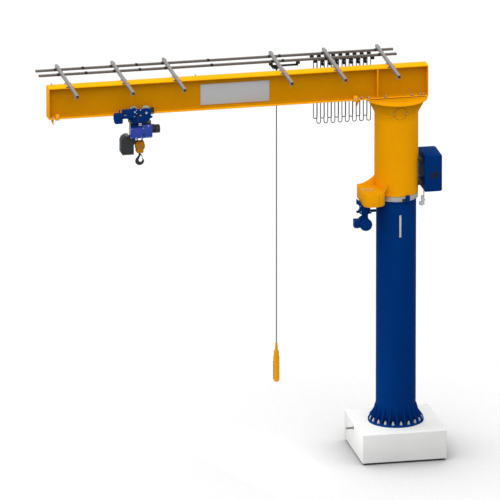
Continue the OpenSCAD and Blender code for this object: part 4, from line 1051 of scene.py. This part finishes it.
# %% Lugs on the top flange
bolts("flange_lugs", [(x, 0.084, arm_low) for x in (-4.868, -2.833)], (0, 0, 1), 0.022, "jib", tall=0.9)

# %% [markdown]
# ## Trolley
# The trolley hangs from the lower flange on four flanged wheels. Its side plates are cut steel with a
# folded rib, bolts for the axles and tie rods, and a small guard with a rubber pad. True slots could be
# cut in them, but thin black plates laid on the steel, as painted shade of the slots, look the same from
# here and leave the solids whole.
# The bolts of a wheel ride on that wheel's own body, so they turn with it.

# %% Frame, buffers and wheels
for node, width in {"trolley_frame": 0.002, "trolley_buffers": 0.003, "wheel_1": 0.002, "wheel_2": 0.002,
                    "wheel_3": 0.002, "wheel_4": 0.002, "hoist_suspension": 0.002}.items():
    dress(node, width)
for n in (1, 2, 3, 4):
    low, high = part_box(f"wheel_{n}")
    side = -1 if low.y < 0 else 1
    face, middle = (low.y if side < 0 else high.y), ((low.x + high.x) / 2, (low.z + high.z) / 2)
    hub = [(middle[0] + 0.036 * cos(radians(a)), face - side * 0.004, middle[1] + 0.036 * sin(radians(a)))
           for a in range(0, 360, 60)]
    bolts(f"wheel_{n}_bolts", hub, (0, side, 0), 0.009, f"wheel_{n}", tall=0.5)

# %% Ribs, bolts and guard on the side plates
plate_y = 0.137
rib = Solid()
for side in (-1, 1):
    y0, y1 = sorted((side * (plate_y - 0.001), side * (plate_y + 0.006)))
    rib.prism(rounded(-3.735, 5.062, -3.707, 5.252, 0.010), "y", y0, y1)
rib.piece("trolley_ribs", "trolley", "mast_blue", bevel=0.0015)
# Black plates where the slots would be: painted shade of the slots.
slot_corners = ((-3.702, 5.080, -3.684, 5.180), (-3.676, 5.154, -3.636, 5.190),
                (-3.640, 5.064, -3.560, 5.072))
plates("trolley_slots", "trolley", "black_fitting", "y", 0.0,
       *[(*corners, 0.003, -plate_y - 0.0025, -plate_y + 0.001) for corners in slot_corners])
side_bolts("trolley_bolts", plate_y, [(-3.657, 5.172), (-3.742, 5.163), (-3.657, 5.250)], 0.017, "trolley",
           tall=0.5)
side_bolts("trolley_axle_nuts", plate_y, [(-3.574, 5.205)], 0.028, "trolley", tall=0.6)
plates("trolley_guard_pad", "trolley", "rubber", "y", 0.003,
       (-3.513, 5.200, -3.462, 5.272, 0.010, -0.136, -0.108))
guard = Solid().box((-3.520, -0.134, 5.176), (-3.466, -0.112, 5.204))
guard.piece("trolley_guard_bracket", "trolley", "rail_zinc", bevel=0.002)

# %% [markdown]
# ## Travel drive
# The drive is a cast gearbox bolted to the side plate with a small square motor in front. Cast corners
# are round and its joint is a thin dark line, so the box gets a wide bevel and a seam laid round it.

# %% Travel gearbox
for node, width in {"travel_gearbox": 0.006, "travel_motor": 0.005}.items():
    dress(node, width, segments=3)
low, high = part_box("travel_gearbox")
seam_z = 5.249
seam = Solid().swept([(low.x + 0.004, low.y - 0.0003, seam_z), (-3.800, low.y - 0.0003, seam_z),
                      (-3.765, low.y - 0.0003, seam_z)], 0.0016, 6)
seam.swept([(low.x - 0.0003, low.y + 0.004, seam_z), (low.x - 0.0003, -0.142, seam_z)], 0.0016, 6)
seam.piece("travel_seam", "trolley", "rubber")
near_bolts("travel_gearbox_bolts", low.y, grid((low.x + 0.016, -3.785), (5.166, 5.236)), 0.011, "trolley",
           "mast_blue", tall=0.5)
boss_x, boss_y, boss_z, boss_ring = -3.746, -0.189, 5.2409, 0.034
near_bolts("travel_axle_nut", boss_y, [(boss_x, boss_z)], 0.022, "trolley", tall=0.5)
boss_spots = [(boss_x + boss_ring * cos(radians(a)), boss_z + boss_ring * sin(radians(a)))
              for a in (45, 135, 225, 315)]
near_bolts("travel_boss_bolts", boss_y, boss_spots, 0.011, "trolley", tall=0.5)
plates("travel_tag", "trolley", "rail_zinc", "y", 0.0005,
       (-3.903, 5.196, -3.862, 5.214, 0.003, low.y - 0.0018, low.y + 0.001))

# %% Travel motor with its grille and fins
low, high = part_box("travel_motor")
middle = (low.x + 0.058, low.y, 5.175)
grille = Solid()
for ring in (0.014, 0.024, 0.034, 0.044):
    grille.turned(middle, "y", [(0.002, ring - 0.0022), (-0.0012, ring - 0.0014), (-0.0012, ring + 0.0014),
                                (0.002, ring + 0.0022)], 28)
grille.piece("travel_motor_grille", "trolley", "mast_blue")
screw_spots = [(middle[0] + sx * 0.047, middle[2] + sz * 0.056) for sx, sz in grid((-1, 1), (-1, 1))]
near_bolts("travel_motor_screws", low.y, screw_spots, 0.008, "trolley", "mast_blue", tall=0.5)
spots = [(middle[0] + k * 0.0125, -0.180, middle[2] + side * 0.055) for k in range(-3, 4) for side in (-1, 1)]
mesh = grown(fin_tree, dots(spots, [(0, 0, 1)] * len(spots)), "mast_blue", breadth=0.0035, depth=0.060,
             height=0.012)
settle(mesh, "travel_motor_fins", "trolley", "mast_blue")

# %% [markdown]
# ## Hoist
# The chain hoist is a cast case with a gear side and a motor side. The load hangs from an eye between
# two grey cheeks, the motor's fan sits under a black cowl, and the slack chain falls into a container.
# The panels of the case could be a bump in the paint. Raised plates are used instead, because their
# edges catch the light.

# %% Case of the hoist
dress("hoist_body", 0.010, segments=3)
low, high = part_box("hoist_body")
front = low.y
plates("hoist_panels", "trolley", "hoist_violet", "y", 0.002,
       (-3.775, 4.866, -3.625, 4.960, 0.016, front - 0.0025, front + 0.002),
       (-3.600, 4.866, -3.500, 4.990, 0.016, front - 0.0025, front + 0.002))
end_plate = Solid().prism([(-0.126, 4.892), (-0.046, 4.892), (-0.046, 4.984), (-0.056, 5.086),
                           (-0.096, 5.086), (-0.126, 5.040)], "x", low.x - 0.0040, low.x + 0.0005)
end_plate.piece("hoist_end_plate", "trolley", "cover_grey", bevel=0.0015)
bolts("hoist_end_screws", [(low.x - 0.004, y, z) for y in (-0.112, -0.060) for z in (4.906, 4.968)],
      (-1, 0, 0), 0.010, "trolley", tall=0.5)
# A thin black plate on the case's top: painted shade, where the trolley above shades it.
plates("hoist_lid", "trolley", "dark_cover", "z", 0.0015,
       (-3.627, -0.118, -3.495, 0.118, 0.012, high.z - 0.002, high.z + 0.004))
step = Solid().box((-3.7835, -0.1070, 4.9865), (-3.6295, -0.0450, 5.0270))
step.box((-3.6910, -0.0460, 4.9865), (-3.6295, 0.1070, 5.0270))
step.piece("hoist_step_cover", "trolley", "mast_blue", bevel=0.0015)

# %% Screws and plug of the hoist
screw_spots = grid((-3.784, -3.712, -3.640, -3.568, -3.530, -3.496), (4.848,))
screw_spots += [(-3.784, 4.972), (-3.612, 4.978)]
near_bolts("hoist_screws", front, screw_spots, 0.011, "trolley", tall=0.4)
near_bolts("hoist_top_screw", front, [(-3.542, 5.008)], 0.017, "trolley", tall=0.4)
plug_profile = [(0.002, 0.013), (-0.003, 0.013), (-0.006, 0.010), (-0.0065, 0.005)]
plug = Solid().turned((-3.606, front, 4.889), "y", plug_profile, 20)
plug.piece("hoist_plug", "trolley", "rubber")
fan_end, drive_end = -3.3575, -3.4835

def fan_extras(solid):
    """A shallow ledge on top of the motor, near the case."""
    solid.prism(rounded(-0.046, 4.966, 0.046, 4.981, 0.006), "x", drive_end, -3.4300)

motor("hoist_fan_motor", "trolley", "dark_cover", "x", (-3.420, 0.0, 4.923), 0.0595, fan_end, drive_end,
      0.066, ["hoist_motor"], fan_extras, 22)

# %% Eye and cheeks
plates("suspension_eye", "trolley", "zinc", "y", 0.0015, (-3.681, 5.022, -3.642, 5.060, 0.008, -0.144,
                                                          -0.138))
pin_profile = [(0.0, 0.005), (0.002, 0.008), (0.006, 0.008), (0.006, 0.011), (0.090, 0.011)]
pin = Solid().turned((-3.6615, -0.148, 5.041), "y", pin_profile, 18)
pin.piece("suspension_pin", "trolley", "black_steel")
cheeks = Solid()
for outline in ([(-3.792, 5.012), (-3.764, 5.012), (-3.760, 5.060), (-3.770, 5.090), (-3.792, 5.090)],
                [(-3.568, 5.028), (-3.496, 5.028), (-3.488, 5.060), (-3.510, 5.080), (-3.562, 5.080)]):
    cheeks.prism(outline, "y", -0.068, -0.056)
cheeks.piece("suspension_cheeks", "trolley", "rail_zinc", bevel=0.002)

# %% Chain container
dress("chain_container", 0.010, segments=3)
low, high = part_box("chain_container")
# Black strips round the top of the container: painted shade of its open mouth.
mouth = (-3.846, 4.808, -3.716, 4.833, 0.006)
plates("container_mouth", "trolley", "black_fitting", "y", 0.0008, (*mouth, low.y - 0.0015, low.y + 0.002),
       (*mouth, high.y - 0.002, high.y + 0.0015))
plates("container_lid", "trolley", "rail_zinc", "z", 0.0015,
       (-3.852, -0.0675, -3.800, 0.0675, 0.010, high.z - 0.004, high.z + 0.003))
plates("container_hem", "trolley", "rail_zinc", "z", 0.001,
       (low.x + 0.024, low.y - 0.001, -3.740, high.y + 0.001, 0.010, low.z + 0.0005, low.z + 0.009))
rivets = [(-3.888, 4.620), (-3.760, 4.620), (-3.888, 4.770), (-3.740, 4.770)]
near_bolts("container_rivets", low.y, rivets, 0.009, "trolley", "black_fitting", tall=0.3)

# %% [markdown]
# ## Load chain
# The chain runs down from the hoist in two falls. When the hook goes down 4.25 m, the chain grows
# out of the hoist. One rigid piece can't do that, and a stretched one would pull its links long. So the
# chain is built at its full length, and then every point is pushed up by a smooth ramp of up to 4.25 m.
# At rest the spare links lie pushed together inside the case.

# %% The tree of chain links
chain_tree, given = modifier_tree("load chain", links="Int", pitch="Float", wire="Float")
pitch, wire = given.other("pitch"), given.other("wire")
oval = chain_tree.add("GeometryNodeCurvePrimitiveQuadrilateral", None,
                      {"Width": pitch * 0.80, "Height": pitch + wire})
oval = chain_tree.add("GeometryNodeFilletCurve", {"mode": "POLY"},
                      {"Curve": oval, "Count": 2, "Radius": pitch * 0.36})
section = chain_tree.add("GeometryNodeCurvePrimitiveCircle", None, {"Resolution": 5, "Radius": wire * 0.5})
link = chain_tree.add("GeometryNodeCurveToMesh", None, {"Curve": oval, "Profile Curve": section})
link = chain_tree.add("GeometryNodeTransform", None, {"Geometry": link, "Rotation": (radians(90), 0.0, 0.0)})
line = chain_tree.add("GeometryNodeMeshLine", None, {"Count": given.other("links"), "Offset": chain_tree.add(
    "ShaderNodeCombineXYZ", None, {"Z": pitch * -1.0})})
row = chain_tree.add("GeometryNodeInstanceOnPoints", None, {"Points": line, "Instance": link})
quarter = chain_tree.add("GeometryNodeInputIndex") % 2.0 * radians(90) + radians(45)
row = chain_tree.add("GeometryNodeRotateInstances", None, {"Instances": row, "Rotation": chain_tree.add(
    "ShaderNodeCombineXYZ", None, {"Z": quarter})})
row = chain_tree.add("GeometryNodeRealizeInstances", None, {"Geometry": row})
ending(chain_tree, given, chain_tree.add("GeometryNodeInstanceOnPoints", None,
                                         {"Points": given, "Instance": row}))
print("chain tree has", len(chain_tree.tree.nodes), "nodes")

# %% Two falls, their spare links pushed up into the hoist
hoist_x, fall_off, case_low, lift = -3.640, 0.035, 4.836, 4.25
blend_start, blend_end, chain_pitch = case_low + 0.100, case_low + 0.005, 0.027
fall_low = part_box("chain_falls")[0].z
link_count = int((blend_start - fall_low + lift) / chain_pitch) + 1
first_link = fall_low - lift + (link_count - 1) * chain_pitch
falls = dots([(hoist_x + side * fall_off, 0.0, first_link) for side in (-1, 1)], [(0, 0, 1)] * 2)
mesh = grown(chain_tree, falls, "chain", links=link_count, pitch=chain_pitch, wire=0.009)
heights = np.linspace(blend_end, blend_start, 400)
share = np.clip((blend_start - heights) / (blend_start - blend_end), 0.0, 1.0)
lowered = heights - lift * share * share * (3.0 - 2.0 * share)
for vertex in mesh.vertices:
    z = vertex.co.z
    vertex.co.z = z + lift if z < lowered[0] else min(float(np.interp(z, lowered, heights)), blend_start)
chain = settle(mesh, "load_chain", "hook_block", "chain", join=False)
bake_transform(chain)
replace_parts(chain, "chain_falls")
print(link_count, "links in each fall")

# %% [markdown]
# ## Hook block and hook
# The block is cast and painted, with the pulley's axle through it. The hook is forged: its section is
# widest where it carries most, and it tapers to the tip. A bent round bar would look like a coat hook, so
# the section is lofted ring by ring between an inner circle, the throat, and an outer one, the bowl.

# %% Hook block
dress("hook_block", 0.008, segments=3)
axle_z, block_front = 4.690, 0.050
for side, name in ((-1, "front"), (1, "back")):
    cap_profile = [(side * along, r) for along, r in ((-0.002, 0.019), (0.002, 0.019), (0.004, 0.016),
                                                      (0.0045, 0.008))]
    axle_cap = Solid().turned((hoist_x, side * block_front, axle_z), "y", cap_profile, 24)
    axle_cap.piece("axle_cap_" + name, "hook_block", "rail_zinc")
side_bolts("block_screws", 0.045, [(-3.6805, 4.662), (-3.5955, 4.662)], 0.012, "hook_block", "mast_blue",
           tall=0.5)
collars = Solid()
for side in (-1, 1):
    collar_at = (hoist_x + side * fall_off, 0.0, 4.744)
    collars.turned(collar_at, "z", [(0.0, 0.019), (0.011, 0.019), (0.013, 0.017)], 20)
collars.piece("chain_mouths", "hook_block", "rubber")

# %% Forged hook
bowl_z, bowl_r = 4.470, 0.064
throat, throat_r = Vector((0.011, 0.012)), 0.026
sections = []
for step, angle in enumerate(np.linspace(40.0, -215.0, 30)):
    ray = Vector((cos(radians(angle)), sin(radians(angle))))
    along = throat.dot(ray)
    reach = -along + sqrt(along * along - throat.dot(throat) + bowl_r ** 2)
    taper = min(1.0, 0.34 + step * 0.13)
    thick = (reach - throat_r) / 2 * taper
    sections.append((throat + ray * (throat_r + thick), ray, thick, 0.016 * (0.55 + 0.45 * taper)))
for x, z, angle, half in ((-0.0180, 0.056, 158, 0.0165), (-0.0065, 0.072, 170, 0.0150),
                          (0.0, 0.088, 178, 0.0138), (0.0, 0.104, 180, 0.0138), (0.0, 0.179, 180, 0.0138)):
    sections.append((Vector((x, z)), Vector((cos(radians(angle)), sin(radians(angle)))), half, half))
rings = []
for middle, ray, half, deep in sections:
    ring = []
    for k in range(16):
        turned = 2 * pi * k / 16
        spot = middle + ray * half * cos(turned)
        ring.append((hoist_x + spot.x, deep * sin(turned) * (1.0 - 0.12 * cos(turned)), bowl_z + spot.y))
    rings.append(ring)
hook = Solid().loft(rings)
collar = [(0.0, 0.0135), (0.001, 0.0185), (0.008, 0.0185), (0.009, 0.0135)]
hook.turned((hoist_x, 0.0, 4.566), "z", collar, 20)
hook.piece("hook_forged", "hook", "black_steel", nodes=["hook"], angle=60.0)

# %% Latch and its pin
dress("latch", 0.0006)
pin_profile = [(0.0, 0.005), (0.001, 0.0065), (0.003, 0.0065), (0.003, 0.0035), (0.034, 0.0035),
               (0.034, 0.0065), (0.036, 0.0065), (0.037, 0.005)]
pin = Solid().turned((hoist_x + 0.022, -0.0185, 4.554), "y", pin_profile, 14)
pin.piece("latch_pin", "latch", "zinc")

# %% [markdown]
# ## Pendant
# The pendant's cable hangs from its own small trolley and ends in a ribbed boot, which keeps the cable
# from kinking at the hand control. The control is moulded in two halves, with two columns of buttons on
# the side that faces the load and a red stop button over them. A box could be scaled to its size, but
# its shoulders draw in and its foot is round, so it is lofted through round-cornered rectangles.

# %% Pendant trolley
pendant_carriages = [(x, rail_near_y, block_top) for x in (-1.660, -1.276)]
copies("pendant_carriages", model_of(carriage(), 0.0008), pendant_carriages, "pendant", "black_fitting",
       ["pendant_trolley"])
frame_bar = Solid().prism(rounded(-1.662, 5.529, -1.274, 5.555, 0.006), "y", rail_near_y - 0.010,
                          rail_near_y + 0.010)
frame_bar.prism(rounded(-1.640, 5.503, -1.552, 5.533, 0.007), "y", rail_near_y - 0.026, rail_near_y + 0.026)
gland = [(0.0, 0.0095), (0.004, 0.013), (0.010, 0.0145), (0.012, 0.0160), (0.030, 0.0160)]
frame_bar.turned((pendant_x, rail_near_y, pendant_top), "z", gland, 6)
frame_bar.piece("pendant_trolley_bar", "pendant", "black_fitting", bevel=0.001)
near_bolts("pendant_trolley_screws", rail_near_y - 0.026, grid((-1.628, -1.564), (5.518,)), 0.009, "pendant",
           tall=0.4)

# %% Hand control and boot
station_low, shoulder, station_top, half_x, half_y = 0.932, 1.300, 1.388, 0.039, 0.038

def oblong(z, half_x, half_y, r):
    return [(pendant_x + x, rail_near_y + y, z) for x, y in rounded(-half_x, -half_y, half_x, half_y, r)]

station = Solid().loft([oblong(station_low, half_x - 0.014, half_y - 0.018, 0.014),
                        oblong(station_low + 0.006, half_x - 0.007, half_y - 0.009, 0.017),
                        oblong(station_low + 0.030, half_x, half_y, 0.017),
                        oblong(shoulder, half_x, half_y, 0.017),
                        oblong(shoulder + 0.014, half_x - 0.006, half_y - 0.006, 0.017),
                        oblong(station_top - 0.014, half_x - 0.006, half_y - 0.006, 0.017),
                        oblong(station_top + 0.003, 0.022, 0.022, 0.0215)])
station.piece("pendant_control", "pendant", "pendant_yellow", bevel=0.0015, nodes=["pendant_station"])
boot = [(0.0, 0.0215)]
for k in range(7):
    start, wide = 0.004 + k * 0.0155, 0.0218 - k * 0.0011
    boot += [(start, wide), (start + 0.008, wide), (start + 0.0095, wide - 0.0035),
             (start + 0.0135, wide - 0.0035)]
boot += [(boot_top - station_top - 0.003, 0.0120), (boot_top - station_top, 0.0100)]
boot_shape = Solid().turned((pendant_x, rail_near_y, station_top), "z", boot, 24)
boot_shape.piece("pendant_boot", "pendant", "pendant_yellow", bevel=0.0006)

# %% Buttons, joint and screws
buttons = Solid()
button = [(0.001, 0.0125), (-0.0010, 0.0125), (-0.0015, 0.0100), (-0.0032, 0.0100), (-0.0040, 0.0085)]
for k in range(6):
    for side in (-1, 1):
        button_at = (pendant_x - half_x, rail_near_y + side * 0.017, 0.985 + k * 0.036)
        buttons.turned(button_at, "x", button, 18)
buttons.piece("pendant_buttons", "pendant", "black_fitting")
stop_profile = [(0.001, 0.012), (-0.003, 0.012), (-0.003, 0.016), (-0.007, 0.016), (-0.0085, 0.012)]
stop = Solid().turned((pendant_x - half_x, rail_near_y, 1.212), "x", stop_profile, 24)
stop.piece("pendant_stop", "pendant", "button_red")
joint = Solid()
for side in (-1, 1):
    joint.swept([(pendant_x, rail_near_y + side * (half_y + 0.0002), z)
                 for z in (station_low + 0.032, 1.10, shoulder - 0.002)], 0.0014, 6)
joint.piece("pendant_joint", "pendant", "rubber")
screw_spots = grid((pendant_x - 0.022, pendant_x + 0.022), (0.975, 1.225))
near_bolts("pendant_screws", rail_near_y - half_y, screw_spots, 0.006, "pendant", tall=0.3)

# %% [markdown]
# ## Floor, light and background
# The crane stands in a plain, pale studio. A white backdrop could be made by more light, but that would
# wash out the paint. Here the floor and the world are white only to the camera and to mirrors, and the
# crane is lit by a soft sky, a broad sun from high behind, which leaves a soft shadow in front, and a
# second sun from the front that fills the shaded sides. A small low lamp brightens the block's left side.
# It stands close to the block with its back to the hook, since a lamp that the hook passes in front of
# would burn out its paint. The floor glows less near the crane, which deepens the soft shade of contact.

# %% A pale floor that keeps the shadow
def watched(recipe):
    """1 for rays that the camera sends, straight or by a mirror or glass, and 0 for all others."""
    path = recipe.add("ShaderNodeLightPath", out="Is Camera Ray")
    return path + path.other("Is Glossy Ray") + path.other("Is Transmission Ray")

floor_mesh = bpy.data.meshes.new("floor")
half = 90.0
floor_mesh.from_pydata([(-half, -half, 0), (half, -half, 0), (half, half, 0), (-half, half, 0)], [],
                       [(0, 1, 2, 3)])
floor = bpy.data.objects.new("floor", floor_mesh)
scene.collection.objects.link(floor)
floor_glow, contact_reach, contact_depth = 0.60, 4.0, 2.4
recipe, at = finish("studio_floor")
matt = recipe.add("ShaderNodeBsdfDiffuse", None, {"Color": (0.28, 0.28, 0.282, 1.0)})
nearby = recipe.add("ShaderNodeAmbientOcclusion", {"samples": 8}, {"Distance": contact_reach}, out="AO")
open_sky = recipe.add("ShaderNodeMath", {"operation": "POWER"}, {0: nearby, 1: contact_depth})
glow = recipe.add("ShaderNodeEmission", None, {"Color": (1, 1, 1, 1), "Strength": open_sky * floor_glow})
seen = watched(recipe)
none = recipe.add("ShaderNodeEmission", None, {"Color": (0, 0, 0, 1), "Strength": 0.0})
extra = recipe.add("ShaderNodeMixShader", None, {0: seen, 1: none, 2: glow})
both = recipe.add("ShaderNodeAddShader", None, {0: matt, 1: extra})
recipe.add("ShaderNodeOutputMaterial", None, {"Surface": both})
floor_mesh.materials.append(finishes["studio_floor"])
print("floor", 2 * half, "m wide")

# %% A soft sky
world = bpy.data.worlds.new("studio")
scene.world = world
world.use_nodes = True
sky_light = 0.85
recipe = Recipe(world.node_tree)
seen = watched(recipe)
sky = recipe.add("ShaderNodeBackground", None, {"Color": (1.0, 1.0, 1.0, 1.0), "Strength": sky_light})
white = recipe.add("ShaderNodeBackground", None, {"Color": (1.0, 1.0, 1.0, 1.0), "Strength": 1.0})
recipe.add("ShaderNodeOutputWorld", None,
           {"Surface": recipe.add("ShaderNodeMixShader", None, {0: seen, 1: sky, 2: white})})
print("sky at", sky_light)

# %% Two broad suns and a low lamp
def lamp(name, kind, direction, strength, place=(0, 0, 0), **settings):
    """A lamp; the direction points from the crane towards the light."""
    light = bpy.data.objects.new(name, bpy.data.lights.new(name, kind))
    light.data.energy = strength
    for key, value in settings.items():
        setattr(light.data, key, value)
    light.location = place
    light.rotation_euler = (-Vector(direction)).to_track_quat("-Z", "Y").to_euler()
    scene.collection.objects.link(light)

lamp("key", "SUN", (-0.22, 0.27, 0.94), 1.1, angle=radians(35.0))
lamp("fill", "SUN", (-0.17, -0.62, 0.77), 1.6, angle=radians(50.0))
lamp("low_left", "AREA", (-1.7, -0.5, 0.45), 18.0, place=(-2.3, -0.5, 0.7), shape="RECTANGLE", size=1.0,
     size_y=0.6)
scene.view_settings.view_transform = "Standard"
